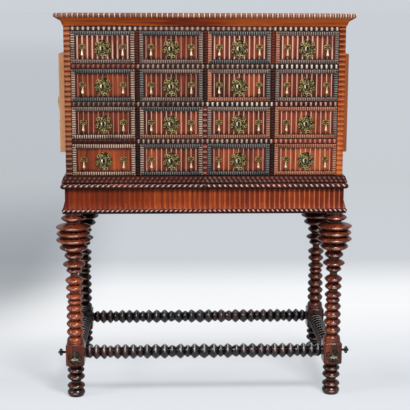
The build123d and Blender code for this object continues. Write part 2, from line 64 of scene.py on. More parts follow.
class Shape:
    """A closed skin as arrays.

    points (n, 3) in millimetres, and faces (k, 4), where a triangle has -1 in its last place.
    rise (n) is 0 in a hollow, 1 on a crest and 0.6 where there is neither, and is scaled where
    highlight and shade are painted. tone (n) is -1 for dark wood and 1 for light wood, and lower where
    shade is painted. grain (n, 3) is the place in the board, first number along the grain.
    finish (k) is the number of the face's material.
    """

    def __init__(self, points, faces, rise=0.6, tone=0.0, grain=None, finish=0):
        self.points = points
        self.faces = faces
        self.rise = np.zeros(len(points)) + rise
        self.tone = np.zeros(len(points)) + tone
        self.grain = points if grain is None else grain
        self.finish = np.zeros(len(faces), int) + finish


def outward(shape):
    """Turns every face round if the skin encloses a volume below nothing, so that faces point out.

    The volume is a sixth of the sum, over the faces, of a corner dotted with the cross products of
    the face's other corners.
    """
    a, b, c, d = (shape.points[shape.faces[:, i]] for i in range(4))
    d = np.where(shape.faces[:, 3:] < 0, c, d)
    volume = np.sum(a * (np.cross(b, c) + np.cross(c, d)))
    if volume < 0:
        three = shape.faces[:, [2, 1, 0, 3]]
        four = shape.faces[:, [3, 2, 1, 0]]
        shape.faces = np.where(shape.faces[:, 3:] < 0, three, four)
    return shape


# %% Closing a net
def skin(net, rise=0.6):
    """A net of rings (ring, place, 3) made into a closed skin.

    Faces join each ring to the next one, and a fan to the middle of the ring closes each end.
    """
    rings, places = net.shape[:2]
    number = np.arange(rings * places).reshape(rings, places)
    beside = np.roll(number, -1, axis=1)
    walls = np.stack([number[:-1], beside[:-1], beside[1:], number[1:]], -1).reshape(-1, 4)
    one = np.ones(places, int)
    first = np.stack([beside[0], number[0], one * rings * places, -one], -1)
    last = np.stack([number[-1], beside[-1], one * rings * places + 1, -one], -1)
    points = np.concatenate([net.reshape(-1, 3), net[:1].mean(1), net[-1:].mean(1)])
    rise = np.append((np.zeros((rings, places)) + rise).ravel(), [0.6, 0.6])
    return outward(Shape(points, np.concatenate([walls, first, last]), rise))


def hoop(net, rise=0.6):
    """A net closed both ways, as a ring or a pierced cell is: the last ring joins the first."""
    rings, places = net.shape[:2]
    number = np.arange(rings * places).reshape(rings, places)
    beside = np.roll(number, -1, axis=1)
    after = np.roll(number, -1, axis=0)
    faces = np.stack([number, beside, np.roll(beside, -1, axis=0), after], -1).reshape(-1, 4)
    return outward(Shape(net.reshape(-1, 3), faces, (np.zeros((rings, places)) + rise).ravel()))


# %% Carrying a shape to its place
def placed(shape, origin=(0, 0, 0), x=(1, 0, 0), y=(0, 1, 0), z=(0, 0, 1)):
    """The shape with its own X, Y and Z laid along x, y and z from origin. Its grain goes with it."""
    points = shape.points @ np.array([x, y, z], float) + np.array(origin, float)
    return outward(Shape(points, shape.faces, shape.rise, shape.tone, shape.grain, shape.finish))


def cut_from(shape, seed, tone=0.0, finish=0, lengthways=0):
    """The shape cut from a plank of its own.

    seed moves the grain by a few metres, so that no two pieces match, and lengthways is the number
    of the shape's own direction that the grain follows.
    """
    shift = np.array([math.sin(seed * 1.7), math.sin(seed * 2.9 + 1), math.sin(seed * 4.3 + 2)])
    order = [lengthways, (lengthways + 1) % 3, (lengthways + 2) % 3]
    grain = shape.grain[:, order] + 4000 * shift
    return Shape(shape.points, shape.faces, shape.rise, tone, grain, finish)


def joined(shapes):
    """Several shapes as one: points are stacked, and each shape's faces count on from the last."""
    start = np.cumsum([0] + [len(shape.points) for shape in shapes[:-1]])
    faces = [np.where(s.faces < 0, -1, s.faces + first) for s, first in zip(shapes, start)]
    stack = {word: np.concatenate([getattr(shape, word) for shape in shapes])
             for word in ("points", "rise", "tone", "grain", "finish")}
    return Shape(faces=np.concatenate(faces), **stack)


# %% From arrays to a piece of the cabinet
METRES, CREASE = 0.001, math.radians(38)


def piece(name, shapes, finishes, body, stands_for=()):
    """A mesh object made from the shapes, that rides on a body and stands for the named solids.

    Faces that meet at less than CREASE are shaded as one smooth surface.
    """
    shape = joined(shapes)
    mesh = bpy.data.meshes.new(name)
    corners = shape.faces[shape.faces >= 0]
    sizes = np.sum(shape.faces >= 0, axis=1)
    mesh.vertices.add(len(shape.points))
    mesh.vertices.foreach_set("co", (shape.points * METRES).ravel())
    mesh.loops.add(len(corners))
    mesh.loops.foreach_set("vertex_index", corners)
    mesh.polygons.add(len(sizes))
    mesh.polygons.foreach_set("loop_start", np.cumsum(sizes) - sizes)
    mesh.polygons.foreach_set("material_index", shape.finish)
    for word in ("rise", "tone"):
        mesh.attributes.new(word, "FLOAT", "POINT").data.foreach_set("value", getattr(shape, word))
    grain = mesh.attributes.new("grain", "FLOAT_VECTOR", "POINT")
    grain.data.foreach_set("vector", (shape.grain * METRES).ravel())
    for finish in finishes:
        mesh.materials.append(finish)
    mesh.update(calc_edges=True)
    mesh.validate()
    mesh.shade_smooth()
    mesh.set_sharp_from_angle(angle=CREASE)
    made = bpy.data.objects.new(name, mesh)
    bpy.context.scene.collection.objects.link(made)
    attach(made, body)
    if stands_for:
        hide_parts(*stands_for)
    print(name, "triangles:", int(np.sum(sizes - 2)))


# %% [markdown]
# ## The maker's tools
# Four shapes do nearly all of this cabinet. A board has eased edges. A moulding is a section carried
# along a line, and a ripple machine rocks the cutter while the wood passes under it, so the section
# swells and shrinks as it goes. A turning is a profile swept round. A pierced plate is filed out of
# sheet brass, cell by cell. Each one is a function of two numbers on a net.

# %% Boards
SQUARE = np.array([[1, 1], [-1, 1], [-1, -1], [1, -1]])


def eased(corners, ease, steps=3):
    """A closed outline with rounded corners.

    Each corner becomes the curve (1-t)(1-t) start + 2t(1-t) corner + t t end, where start and end lie
    `ease` before and after the corner, but never past the middle of its side.
    """
    corner = np.asarray(corners, float)
    before = np.roll(corner, 1, axis=0) - corner
    after = np.roll(corner, -1, axis=0) - corner
    long_before = np.linalg.norm(before, axis=1, keepdims=True)
    long_after = np.linalg.norm(after, axis=1, keepdims=True)
    start = corner + before * np.minimum(ease / long_before, 0.48)
    end = corner + after * np.minimum(ease / long_after, 0.48)
    t = np.linspace(0, 1, steps)[None, :, None]
    curve = (1 - t) ** 2 * start[:, None] + 2 * t * (1 - t) * corner[:, None] + t ** 2 * end[:, None]
    return curve.reshape(-1, 2)


def board(low, high, ease=1.0, along=0):
    """A board from corner low to corner high, with its grain along one direction.

    An eased rectangle is carried along the board, and is smaller by `ease` at both end faces.
    """
    low, high = np.array(low, float), np.array(high, float)
    order = [along, (along + 1) % 3, (along + 2) % 3]
    half = (high - low)[order] / 2
    ease = min(ease, half.min() * 0.9)
    section = eased(half[1:] * SQUARE, ease, 2)
    net = np.empty((4, len(section), 3))
    net[..., 0] = np.array([-half[0], ease - half[0], half[0] - ease, half[0]])[:, None]
    net[..., 1:] = section * (1 - np.array([1, 0, 0, 1])[:, None, None] * ease / half[1:])
    return placed(skin(net), (low + high) / 2, *np.eye(3)[order])


# %% Rippled mouldings
def lobes(part):
    """Round lobes between narrow valleys: the sine over half a turn, filled out by a power."""
    return np.abs(np.sin(np.pi * part)) ** 0.7


def ridges(part):
    """Narrow ridges between wide hollows: what the lobes leave over."""
    return 1 - np.abs(np.sin(np.pi * part)) ** 0.8


def moulding(section, length, ends=(0, 0), swell=None, pitch=16.5, lean=0.0, steps=10, wave=lobes):
    """A length of moulding along X, its section (across, up) carried from end to end.

    The section swells by `swell` times the wave, whose part is (distance from the middle + lean times
    up) / pitch, with a whole number of ripples in each half. An end runs on by across times `ends`,
    which cuts a mitre.
    """
    section = np.asarray(section, float)
    half = max(1, round(length / 2 / pitch)) if swell is not None else 1
    swell = np.zeros_like(section) if swell is None else np.asarray(swell, float)
    rippled = np.any(swell)
    t = np.linspace(0, 1, 2 * half * steps + 1 if rippled else 17)[:, None]
    reach = length + section[:, 0] * (ends[0] + ends[1])
    flat_x = t * reach - length / 2 - section[:, 0] * ends[0]
    height = wave((np.abs(flat_x) + lean * section[:, 1]) * 2 * half / length)
    across = section[:, 0] + swell[:, 0] * height
    up = section[:, 1] + swell[:, 1] * height
    along = t * (length + across * (ends[0] + ends[1])) - length / 2 - across * ends[0]
    touched = np.any(swell, axis=1)
    return skin(np.stack([along, across, up], -1), np.where(touched, height, 0.6))


# %% The same moulding round a frame
def four_ways(half_width, front, back, make, sides="front right back left", lengthways=0):
    """Moulding lengths made by make(length, ends) and mitred round a rectangle, each with its place.

    A frame of two or three sides has square ends where it stops.
    """
    middle, depth = (front + back) / 2, back - front
    rear = 1 if "back" in sides else 0
    places = {
        "front": ((0, front, 0), (1, 0, 0), (0, -1, 0), 2 * half_width, (1, 1)),
        "right": ((half_width, middle, 0), (0, 1, 0), (1, 0, 0), depth, (1, rear)),
        "back": ((0, back, 0), (1, 0, 0), (0, 1, 0), 2 * half_width, (1, 1)),
        "left": ((-half_width, middle, 0), (0, 1, 0), (-1, 0, 0), depth, (1, rear)),
    }
    lengths = []
    for number, side in enumerate(sides.split()):
        origin, along, across, length, ends = places[side]
        carried = placed(make(length, ends), origin, along, across, (0, 0, 1))
        seed = 3.1 * number + front * 0.01 + half_width * 0.02
        lengths.append(cut_from(carried, seed, lengthways=lengthways))
    return lengths


# %% Turnings
def beads(stations, steps=8, crest=1.75):
    """Heights, radii and rise of a row of beads, from (height, radius) at each hollow and crest.

    With u going from 0 on a crest to 1 in the next hollow, the radius falls by the step between them
    times u to the power `crest`: 1 gives a sharp ridge, 2 a round bead over a sharp hollow.
    """
    station = np.asarray(stations, float)
    low, high = station[:-1, :, None], station[1:, :, None]
    t = np.linspace(0, 1, steps)[:-1]
    height = low[:, 0] + (high[:, 0] - low[:, 0]) * t
    up = high[:, 1] >= low[:, 1]
    fall = np.where(up, 1 - t, t) ** crest
    top, bottom = np.maximum(low[:, 1], high[:, 1]), np.minimum(low[:, 1], high[:, 1])
    radius = top - (top - bottom) * fall
    return (np.append(height.ravel(), station[-1, 0]), np.append(radius.ravel(), station[-1, 1]),
            np.append((1 - fall).ravel(), 0.6))


def turning(height, radius, rise=0.6, sides=48):
    """A profile swept round Z: each point is (radius cos a, radius sin a, height)."""
    a = np.linspace(0, 2 * math.pi, sides, endpoint=False)
    net = np.stack([radius[:, None] * np.cos(a), radius[:, None] * np.sin(a),
                    height[:, None] + 0 * a], -1)
    return skin(net, (np.zeros(len(radius)) + rise)[:, None])


# %% Pierced plates
HOLE = 0.34


def pierced_plate(width, height, inner, lobe_count, thick, rows=2, notch=0.10):
    """A plate of pierced cells in X and Y, its back at Z 0, round a middle of radius `inner`.

    A cell is a ring of points round a hole. On a unit square, q goes from the hole (a circle of
    radius HOLE at its middle) to the square's edge while Z goes up, over and down again. The square
    is then bent to polar form: angle = (cell + u) / cells of a turn, and distance goes from the row's
    inner line to its outer line. The outer line of the last row is the plate's oval, drawn in by
    `notch` between its lobes.
    """
    side = np.linspace(0, 1, 3, endpoint=False)
    edge = np.concatenate([np.stack([side, 0 * side], 1), np.stack([1 + 0 * side, side], 1),
                           np.stack([1 - side, 1 + 0 * side], 1), np.stack([0 * side, 1 - side], 1)])
    away = edge - 0.5
    hole = 0.5 + HOLE * away / np.linalg.norm(away, axis=1, keepdims=True)
    q = np.array([0, 0.08, 0.92, 1])[:, None, None]
    up = np.array([0, 1, 0.85, 0])[:, None]
    u, v = np.moveaxis(hole + (edge - hole) * q, -1, 0)
    made = []
    for row in range(rows):
        for cell in range(lobe_count):
            angle = 2 * math.pi * (cell + u + 0.5 * (row % 2)) / lobe_count
            oval = width * height / 4 / np.hypot(np.cos(angle) * height / 2, np.sin(angle) * width / 2)
            scallop = 1 - notch * (1 - np.sin(np.pi * np.clip(u, 0, 1)) ** 0.7)
            start = inner + (oval * 0.9 - inner) * row / rows
            end = inner + (oval * 0.9 - inner) * (row + 1) / rows
            end = oval * scallop if row == rows - 1 else end
            distance = start + (end - start) * v
            net = np.stack([distance * np.cos(angle), distance * np.sin(angle),
                            thick * up + 0 * angle], -1)
            # Each cell takes a little more or less of the wear and painted highlight, at random.
            wear_and_highlight = 0.7 + 0.3 * ((7 * cell + 3 * row) % 5) / 4
            made.append(hoop(net, up * wear_and_highlight + 0 * u))
    return joined(made)


# %% Trying the tools
for word, tried in (("board", board((0, 0, 0), (300, 20, 50))),
                    ("moulding", moulding([(0, 0), (9, 0), (9, 5), (0, 5)], 200)),
                    ("turning", turning(*beads([(0, 10), (8, 20), (16, 10)]))),
                    ("pierced plate", pierced_plate(50, 50, 8, 6, 2))):
    print("a", word, "has", len(tried.points), "points and", len(tried.faces), "faces")


# %% [markdown]
# ## Shader sums
# A finish is a small network of nodes. Wrapping a socket in a class lets the sums in it be written as
# plain Python, and each operator adds the Math node it stands for. Every other node comes from one
# method, which takes the node's settings before its sockets.

# %% The socket that does sums
class Number:
    """A number that changes over the surface. Its operators add Math nodes to the finish."""

    def __init__(self, finish, socket):
        self.finish, self.socket = finish, socket

    def sum(self, operation, first, second=0.0):
        return self.finish.node("ShaderNodeMath", {"operation": operation}, {0: first, 1: second})

    def __add__(self, other):
        return self.sum("ADD", self, other)

    def __rsub__(self, other):
        return self.sum("SUBTRACT", other, self)

    def __mul__(self, other):
        return self.sum("MULTIPLY", self, other)

    __radd__ = __add__

    def between(self, low, high):
        """0 below low, 1 above high, and a smooth slope from one to the other."""
        return self.finish.node("ShaderNodeMapRange", {"interpolation_type": "SMOOTHSTEP"},
                                {"Value": self, "From Min": low, "From Max": high})


# %% A colour from the paint chart
def paint(red, green, blue):
    """A colour written as on a paint chart, 0 to 255, as the light values that Blender mixes."""
    part = np.array([red, green, blue]) / 255
    light = np.where(part <= 0.04045, part / 12.92, ((part + 0.055) / 1.055) ** 2.4)
    return (*light.tolist(), 1.0)


print("middle grey as light:", round(paint(128, 128, 128)[0], 3))


# %% The finish
class Finish:
    """A material, or the air of the studio, whose nodes are added by one method, node()."""

    def __init__(self, name, kinds=bpy.data.materials, shader="Principled BSDF"):
        self.material = kinds.new(name)
        self.material.use_nodes = True
        self.tree = self.material.node_tree
        self.shader = self.tree.nodes[shader]

    def node(self, kind, settings=None, sockets=None, out=0):
        """A node with its settings, then its sockets' values or links. Returns its output."""
        node = self.tree.nodes.new(kind)
        for word, value in (settings or {}).items():
            if word == "stops":
                while len(node.color_ramp.elements) < len(value):
                    node.color_ramp.elements.new(0.5)
                for stop, (position, colour) in zip(node.color_ramp.elements, value):
                    stop.position, stop.color = position, colour
            else:
                setattr(node, word, value)
        for socket, value in (sockets or {}).items():
            if isinstance(value, Number):
                self.tree.links.new(value.socket, node.inputs[socket])
            else:
                node.inputs[socket].default_value = value
        return Number(self, node.outputs[out])

    def attribute(self, word, out="Fac"):
        return self.node("ShaderNodeAttribute", {"attribute_name": word}, out=out)

    def noise(self, place, scale, detail=3.0, roughness=0.5, distortion=0.0):
        return self.node("ShaderNodeTexNoise", {}, {
            "Vector": place, "Scale": scale, "Detail": detail, "Roughness": roughness,
            "Distortion": distortion})

    def stretch(self, place, scale):
        return self.node("ShaderNodeVectorMath", {"operation": "MULTIPLY"}, {0: place, 1: scale})

    def blend(self, share, first, second):
        return self.node("ShaderNodeMix", {"data_type": "RGBA"}, {0: share, 6: first, 7: second},
                         out=2)

    def seen(self):
        """1 for what looks at a surface straight, in a mirror or through glass, otherwise 0."""
        paths = [self.node("ShaderNodeLightPath", out="Is %s Ray" % way)
                 for way in ("Camera", "Glossy", "Transmission")]
        return paths[0].sum("MINIMUM", paths[0] + paths[1] + paths[2], 1.0)

    def done(self, colour, roughness, height, depth, strength=1.0, metallic=0.0, coat=0.0,
             coat_roughness=0.2, sheen=0.5):
        """Feeds the shader: what varies is linked, and what is the same all over is set on it."""
        bump = self.node("ShaderNodeBump", {}, {"Height": height, "Distance": depth,
                                                "Strength": strength})
        for socket, value in {"Base Color": colour, "Roughness": roughness, "Normal": bump}.items():
            self.tree.links.new(value.socket, self.shader.inputs[socket])
        self.shader.inputs["Metallic"].default_value = metallic
        self.shader.inputs["Coat Weight"].default_value = coat
        self.shader.inputs["Coat Roughness"].default_value = coat_roughness
        self.shader.inputs["Specular IOR Level"].default_value = sheen
        return self.material


# %% [markdown]
# ## Rosewood
# Brazilian rosewood is brown to orange with nearly black lines, and has long open pores. Old polish
# keeps its shine on the crests that dusters rub, and dust and wax darken the hollows. The paler crests
# also carry a painted highlight, and the darker hollows painted shade. The figure is noise drawn out
# along the grain, so it needs to know which way each board runs: the grain numbers that were stored
# with each shape tell it. A scan of veneer would repeat and would have to be wrapped round every
# bead, so a formula is the better way.

# %% A hardwood finish
# Front edges before this Y get painted shade, as gaps in shadow beside the strips.
GAP_SHADE_Y = (-0.2299, -0.2285)


def hardwood(name, dark, middle, light, crest, shine=0.3, coat=0.05, crest_share=0.5,
             hollow_share=0.75, hollow_edge=(0.05, 0.45), crest_edge=(0.8, 1.0), sheen=0.12,
             stored=True, upright=False):
    """Figure from drawn-out noise, darker hollows, paler crests and fine pores.

    Darker hollows are dirt and painted shade, and paler crests are wear and painted highlight.
    The wood of a solid, which has no stored numbers, reads its own place instead. It has no crests,
    and painted shade darkens its front edges, where Y is below GAP_SHADE_Y, as in the gaps beside
    the strips.
    """
    wood = Finish(name)
    if stored:
        place = wood.attribute("grain", "Vector")
        rise, tone = wood.attribute("rise"), wood.attribute("tone")
    else:
        place = wood.node("ShaderNodeTexCoord", out="Object")
        depth = wood.node("ShaderNodeSeparateXYZ", {}, {"Vector": place}, out="Y")
    if upright:
        place = wood.node("ShaderNodeMapping", {}, {"Vector": place,
                                                    "Rotation": (0.0, math.radians(90), 0.0)})
    broad = wood.noise(wood.stretch(place, (2.0, 16.0, 16.0)), 1.0, 3.0, 0.55, 0.8)
    streak = wood.noise(wood.stretch(place, (7.0, 120.0, 120.0)), 1.0, 4.0, 0.6, 0.5)
    pores = wood.noise(wood.stretch(place, (60.0, 1500.0, 1500.0)), 1.0, 2.0, 0.5)
    figure = broad * 0.55 + streak * 0.45
    if stored:
        figure = figure + tone * 0.16
    colour = wood.node("ShaderNodeValToRGB", {"stops": [
        (0.34, paint(*dark)), (0.52, paint(*middle)), (0.68, paint(*light))]}, {"Fac": figure})
    colour = wood.blend(pores.between(0.60, 0.70) * 0.5, colour, paint(*[v * 0.45 for v in dark]))
    rough = shine + streak * 0.12 + pores.between(0.58, 0.7) * 0.15
    if stored:
        # Dirt and painted shade: the hollows darken.
        hollow = 1 - rise.between(*hollow_edge)
        colour = wood.blend(hollow * hollow_share, colour, paint(*[v * 0.35 for v in dark]))
        # Wear and painted highlight: the crests turn pale.
        wear_and_painted_light = rise.between(*crest_edge) * wood.noise(place, 12.0, 3.0).between(0.15, 0.5)
        colour = wood.blend(wear_and_painted_light * crest_share, colour, paint(*crest))
        rough = rough + hollow * 0.25
    else:
        # Painted shade: the front edges that show beside the strips are dark, as gaps in shadow.
        gap_shade = 1 - depth.between(*GAP_SHADE_Y)
        colour = wood.blend(gap_shade * 0.9, colour, paint(24, 14, 11))
    return wood.done(colour, rough, pores * -1.0 + streak * 0.5, 0.0004, 0.5, coat=coat,
                     coat_roughness=0.18, sheen=sheen)


print("hardwood is ready")

# %% Woods of the stand
ROSEWOOD_TURNED = hardwood("rosewood turned", (28, 11, 7), (92, 38, 22), (164, 72, 36),
                           (236, 198, 172), shine=0.24, coat=0.65, sheen=0.03, crest_share=0.45,
                           crest_edge=(0.92, 1.0), hollow_share=0.85, hollow_edge=(0.15, 0.82))
EBONISED = hardwood("turned wood, nearly black", (12, 9, 9), (34, 22, 20), (92, 42, 34),
                    (206, 198, 196), shine=0.2, coat=0.85, sheen=0.06, crest_share=0.6,
                    crest_edge=(0.82, 1.0), hollow_share=0.85, hollow_edge=(0.1, 0.6))
FRIEZE_WOOD = hardwood("rosewood frieze", (92, 26, 11), (130, 47, 16), (170, 73, 25),
                       (210, 130, 88), shine=0.36, coat=0.03, crest_share=0.65,
                       crest_edge=(0.45, 0.9), hollow_share=0.3)
DARK_RIPPLE = hardwood("rope moulding", (20, 8, 6), (62, 22, 14), (112, 44, 28), (236, 196, 178),
                       shine=0.22, coat=0.15, sheen=0.15, crest_share=0.7, hollow_share=0.9)
print("woods of the stand:", FRIEZE_WOOD.name, "and three more")

# %% Woods of the case
RAIL_RIPPLE = hardwood("base rail", (22, 9, 6), (58, 21, 13), (98, 38, 24), (170, 112, 92),
                       shine=0.28, hollow_share=0.85)
STRIP_RIPPLE = hardwood("strip, grey brown", (26, 15, 12), (66, 40, 32), (108, 72, 60),
                        (206, 178, 164), shine=0.28, crest_share=0.6, hollow_share=0.85)
STRIP_PALE = hardwood("strip, rubbed pale", (16, 11, 10), (50, 34, 29), (92, 66, 56),
                      (230, 210, 194), shine=0.28, crest_share=0.7, hollow_share=0.9)
STRIP_RED = hardwood("strip, red", (40, 12, 9), (84, 30, 21), (124, 54, 38), (206, 146, 130),
                     crest_share=0.75, hollow_share=0.88)
PARTITION_RIPPLE = hardwood("partition strip", (14, 6, 5), (46, 16, 11), (86, 32, 21),
                            (110, 54, 40), shine=0.36, coat=0.0, sheen=0.1, crest_share=0.2,
                            hollow_share=0.5)
POST_DARK = hardwood("left post", (44, 16, 8), (116, 52, 24), (160, 84, 44), (210, 146, 106),
                     coat=0.08, sheen=0.15, crest_share=0.35, hollow_edge=(0.2, 0.7))
POST_LIGHT = hardwood("right post", (92, 32, 12), (150, 64, 27), (186, 94, 42), (214, 140, 92),
                      shine=0.45, coat=0.0, sheen=0.04, crest_share=0.4, hollow_share=0.2,
                      hollow_edge=(0.2, 0.7))
CORNICE_RIPPLE = hardwood("cornice edge", (84, 48, 34), (130, 86, 66), (164, 118, 92),
                          (240, 216, 200), crest_share=0.85)
ROSEWOOD_PLAIN = hardwood("rosewood cove", (84, 20, 7), (156, 58, 18), (206, 100, 34),
                          (200, 120, 80), shine=0.36, coat=0.03, crest_share=0.0)
PANEL_WOOD = hardwood("side panel wood", (140, 78, 44), (236, 160, 106), (252, 190, 140),
                      (230, 190, 160), shine=0.36)
CASE_WOOD = hardwood("case wood", (64, 25, 14), (122, 56, 31), (166, 88, 50), (200, 150, 110),
                     shine=0.34, coat=0.1, stored=False, upright=True)
INNER_WOOD = hardwood("shelf wood", (104, 70, 44), (146, 106, 70), (176, 136, 96),
                      (200, 150, 110), shine=0.6, coat=0.0, sheen=0.3, stored=False)
print("woods of the case:", CASE_WOOD.name, "and eleven more")

# %% Woods of the drawers
ROSEWOOD = hardwood("rosewood polished", (62, 23, 14), (131, 55, 28), (176, 85, 40),
                    (226, 180, 160), shine=0.32, sheen=0.15, crest_share=0.74,
                    crest_edge=(0.45, 0.88), hollow_share=0.22)
FRAME_DARK = hardwood("frame, nearly black", (20, 23, 25), (44, 46, 46), (74, 70, 66),
                      (176, 168, 158), crest_share=0.6)
FRAME_GREY = hardwood("frame, grey brown", (42, 32, 29), (86, 68, 60), (118, 94, 82),
                      (196, 174, 160), crest_share=0.65)
FRAME_PALE = hardwood("frame, rubbed pale", (38, 26, 20), (106, 76, 58), (146, 108, 84),
                      (224, 200, 180), crest_share=0.8, hollow_share=0.85, hollow_edge=(0.15, 0.6))
FRAME_BROWN = hardwood("frame, red brown", (66, 32, 20), (128, 70, 46), (160, 96, 66),
                       (216, 168, 142), crest_share=0.65, hollow_share=0.7)
DRAWER_WOOD = hardwood("drawer box wood", (120, 84, 54), (166, 126, 86), (196, 158, 116),
                       (210, 176, 136), shine=0.62, coat=0.0, sheen=0.3, crest_share=0.0)
print("woods of the drawers:", DRAWER_WOOD.name, "and five more")

# %% [markdown]
# ## Brass and iron
# The plates are cast and pierced brass, long unpolished: olive brown, and bright only where fingers
# and dusters reach. The piercings are almost black, with painted shade behind them, and a highlight
# is painted on each boss. The bolts are wrought iron. Both need a metal whose colour and roughness
# wander, or they would look like new plastic.

# %% Metal finishes
def old_metal(name, dull, middle, bright, low, high, shine=0.3, metallic=0.9):
    """Blotches of tarnish from noise, bright where rise is high, with a fine dented surface."""
    metal = Finish(name)
    place = metal.node("ShaderNodeTexCoord", out="Object")
    rise = metal.attribute("rise")
    blotch = metal.noise(place, 140.0, 4.0, 0.65)
    speck = metal.noise(place, 900.0, 2.0)
    # Bright metal where the rise is high: wear, and on the boss a painted highlight.
    wear_and_highlight = (rise * 0.7 + blotch * 0.6).between(low, high)
    colour = metal.blend(blotch.between(0.35, 0.62), paint(*dull), paint(*middle))
    colour = metal.blend(wear_and_highlight, colour, paint(*bright))
    rough = shine + blotch * 0.2 + (1 - wear_and_highlight) * 0.15
    return metal.done(colour, rough, blotch + speck * 0.3, 0.0005, 0.4, metallic=metallic)


BRASS = old_metal("old brass", (32, 29, 15), (86, 76, 39), (212, 190, 126), 0.77, 1.0)
BRASS_BRIGHT = old_metal("rubbed brass", (62, 56, 30), (134, 116, 72), (242, 220, 184), 0.62, 0.98,
                         shine=0.28, metallic=0.6)
# A black finish, not metal, for the painted shade behind the openings.
OPENING_SHADE = old_metal("opening shade", (5, 5, 4), (12, 11, 8), (26, 24, 18), 0.9, 1.2, shine=0.75,
                    metallic=0.0)
BRASS_DARK = old_metal("blackened brass", (30, 30, 22), (66, 62, 44), (146, 142, 108), 0.85, 1.15)
IRON = old_metal("wrought iron", (20, 18, 18), (48, 45, 43), (148, 142, 136), 0.95, 1.2, shine=0.38,
                 metallic=0.85)
IRON_RUBBED = old_metal("rubbed iron", (84, 82, 72), (140, 136, 122), (206, 202, 188), 0.7, 1.1,
                        shine=0.3, metallic=0.8)
print("metals:", BRASS.name, "and five more")

# %% [markdown]
# ## The turned legs
# Each leg is one length of rosewood with a square block left for the stretchers, and beads and sharp
# discs turned above and below it. The big discs at the top are the show piece of the stand. A turning
# is the easiest shape of all: a list of hollows and crests, joined by a power curve and swept round.
# Blender's Screw modifier sweeps a drawn line as well, but it wouldn't say where the crests are, and
# the finish needs that. The legs stand where the solid ones do, so their places come from the frame.

# %% Where a solid lies
def span(node):
    """The lowest and highest corner of a solid, in millimetres, to a hundredth."""
    return [np.round(np.array(corner) / METRES, 2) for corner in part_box(node)]


print("the solid legs reach from", *span("stand_legs"))

# %% The lines of a leg
FOOT = [(0, 25.5), (14, 31), (26, 22.5), (37.4, 31), (49, 17), (56, 17), (69.6, 31), (82, 19),
        (94.5, 30), (105, 20), (114, 24)]
BLOCK = 32
BLOCK_LINE = [(112, 0.76), (117.5, 0.98), (119.5, 1), (187, 1), (188.5, 0.98), (193, 0.8)]
SHAFT = [(190, 30), (198, 29.5), (206, 28.5), (217, 18.5), (232.7, 29.5), (247, 18), (261.8, 30),
         (275, 18), (288.8, 29.5), (303.5, 18), (318, 29), (330.5, 18), (340.8, 25), (349, 18.5),
         (359.5, 29.5), (372, 16), (377, 16), (389.6, 29.5), (402.5, 17.5), (417.7, 31), (431, 13.5),
         (441, 13.5), (452, 27), (462, 20), (473.8, 38.5), (487, 19), (491, 19), (504, 32.8),
         (517, 21.5), (533, 48.6), (546.5, 35), (560, 60), (571, 43), (582, 58), (594, 42),
         (605.7, 60), (618, 23), (623, 23), (635.5, 41.5), (646, 27), (655, 27)]
VASE_FOOT = 470
TENON_LOW, TENON_HIGH = (-14, -14, 650), (14, 14, 694.8)
LEG_X, LEG_Y = span("stand_legs")[1][:2] - max(radius for height, radius in SHAFT)
print("the legs' middle lines are at", LEG_X, "and", LEG_Y)


# %% One leg
def leg():
    """Foot, block, shaft and tenon about the leg's own middle line, the foot on the floor.

    The block is an eased square, smaller at both ends as BLOCK_LINE says. Light and shade are painted
    into the rise: a crest is bright at the front and the back of a leg and dark at the sides, as the
    rise falls with the share of Y in the way out, and the hollows are lifted out of their painted
    shade, the big discs of the vase most.
    """
    level, size = np.array(BLOCK_LINE).T[..., None]
    flat = eased(SQUARE * BLOCK, 3.0) * size[..., None]
    block = skin(np.stack([flat[..., 0], flat[..., 1], level + 0 * flat[..., 0]], -1))
    tenon = board(TENON_LOW, TENON_HIGH, 1.0, along=2)
    foot, shaft = turning(*beads(FOOT)), turning(*beads(SHAFT))
    in_vase = np.clip((shaft.points[:, 2] - VASE_FOOT) / 30, 0, 1)
    # Painted light: crests brighter facing front and back, darker at the sides; hollows lifted.
    for part, wear_and_painted_light in (foot, 0.3), (shaft, 0.3 + 0.25 * in_vase):
        out = part.points[:, :2]
        facing = np.abs(out[:, 1]) / np.maximum(np.linalg.norm(out, axis=1), 1e-6)
        part.rise = (wear_and_painted_light + (1 - wear_and_painted_light) * part.rise) * (1 - 0.66 * (1 - facing ** 1.5))
    return [foot, block, shaft, tenon]


print("faces of a leg:", len(joined(leg()).faces))

# %% Four legs
STAND = "stand_and_case"
LEG_TONES = [(0.2, 0.9), (0.1, 0.1), (-1.4, -1.0), (-0.6, -0.3)]
PART_TONES = [-0.7, -0.1, 0, 0]
legs = []
for number, (x, y) in enumerate([(-1, -1), (1, -1), (-1, 1), (1, 1)]):
    low, high = LEG_TONES[number]
    for part, part_tone in zip(leg(), PART_TONES):
        part = placed(part, (x * LEG_X, y * LEG_Y, 0))
        height = part.points[:, 2]
        paler = np.clip((VASE_FOOT - height) / 60, 0, 1) * np.clip((height - 190) / 20, 0, 1)
        tone = low + (high - low) * paler + part_tone
        legs.append(cut_from(part, number + 1, tone, lengthways=2))
piece("turned_legs", legs, [ROSEWOOD_TURNED], STAND, ["stand_legs"])

# %% [markdown]
# ## The stretchers
# Turned stretchers lie between the blocks, long ones low and lengthways, short ones between front and
# back. Bold discs and thin ones take turns along them. They are the same beads as the legs, laid
# down. A row of separate rings would be less work, but a stretcher is turned from one stick, and one
# closed skin shows its hollows as they are.

# %% The lines of the stretchers
BOLD, THIN, STRETCHER_HOLLOW, STUB = 26.5, 22.0, 15.0, 10.6
LONG_BOLD = [0, 34.5, 82, 138, 170, 200.5, 248, 276, 303, 349, 377]
LONG_THIN = [58, 113, 223, 329]
LONG_END = (400, 23)
SHORT_PITCH, SHORT_CRESTS = 28.0, 7
SHORT_Z = span("stand_stretchers")[0][2] + BOLD
LONG_Z = span("stand_stretchers")[1][2] - BOLD
print("middle lines: short ones", SHORT_Z, "and long ones", LONG_Z, "above the floor")


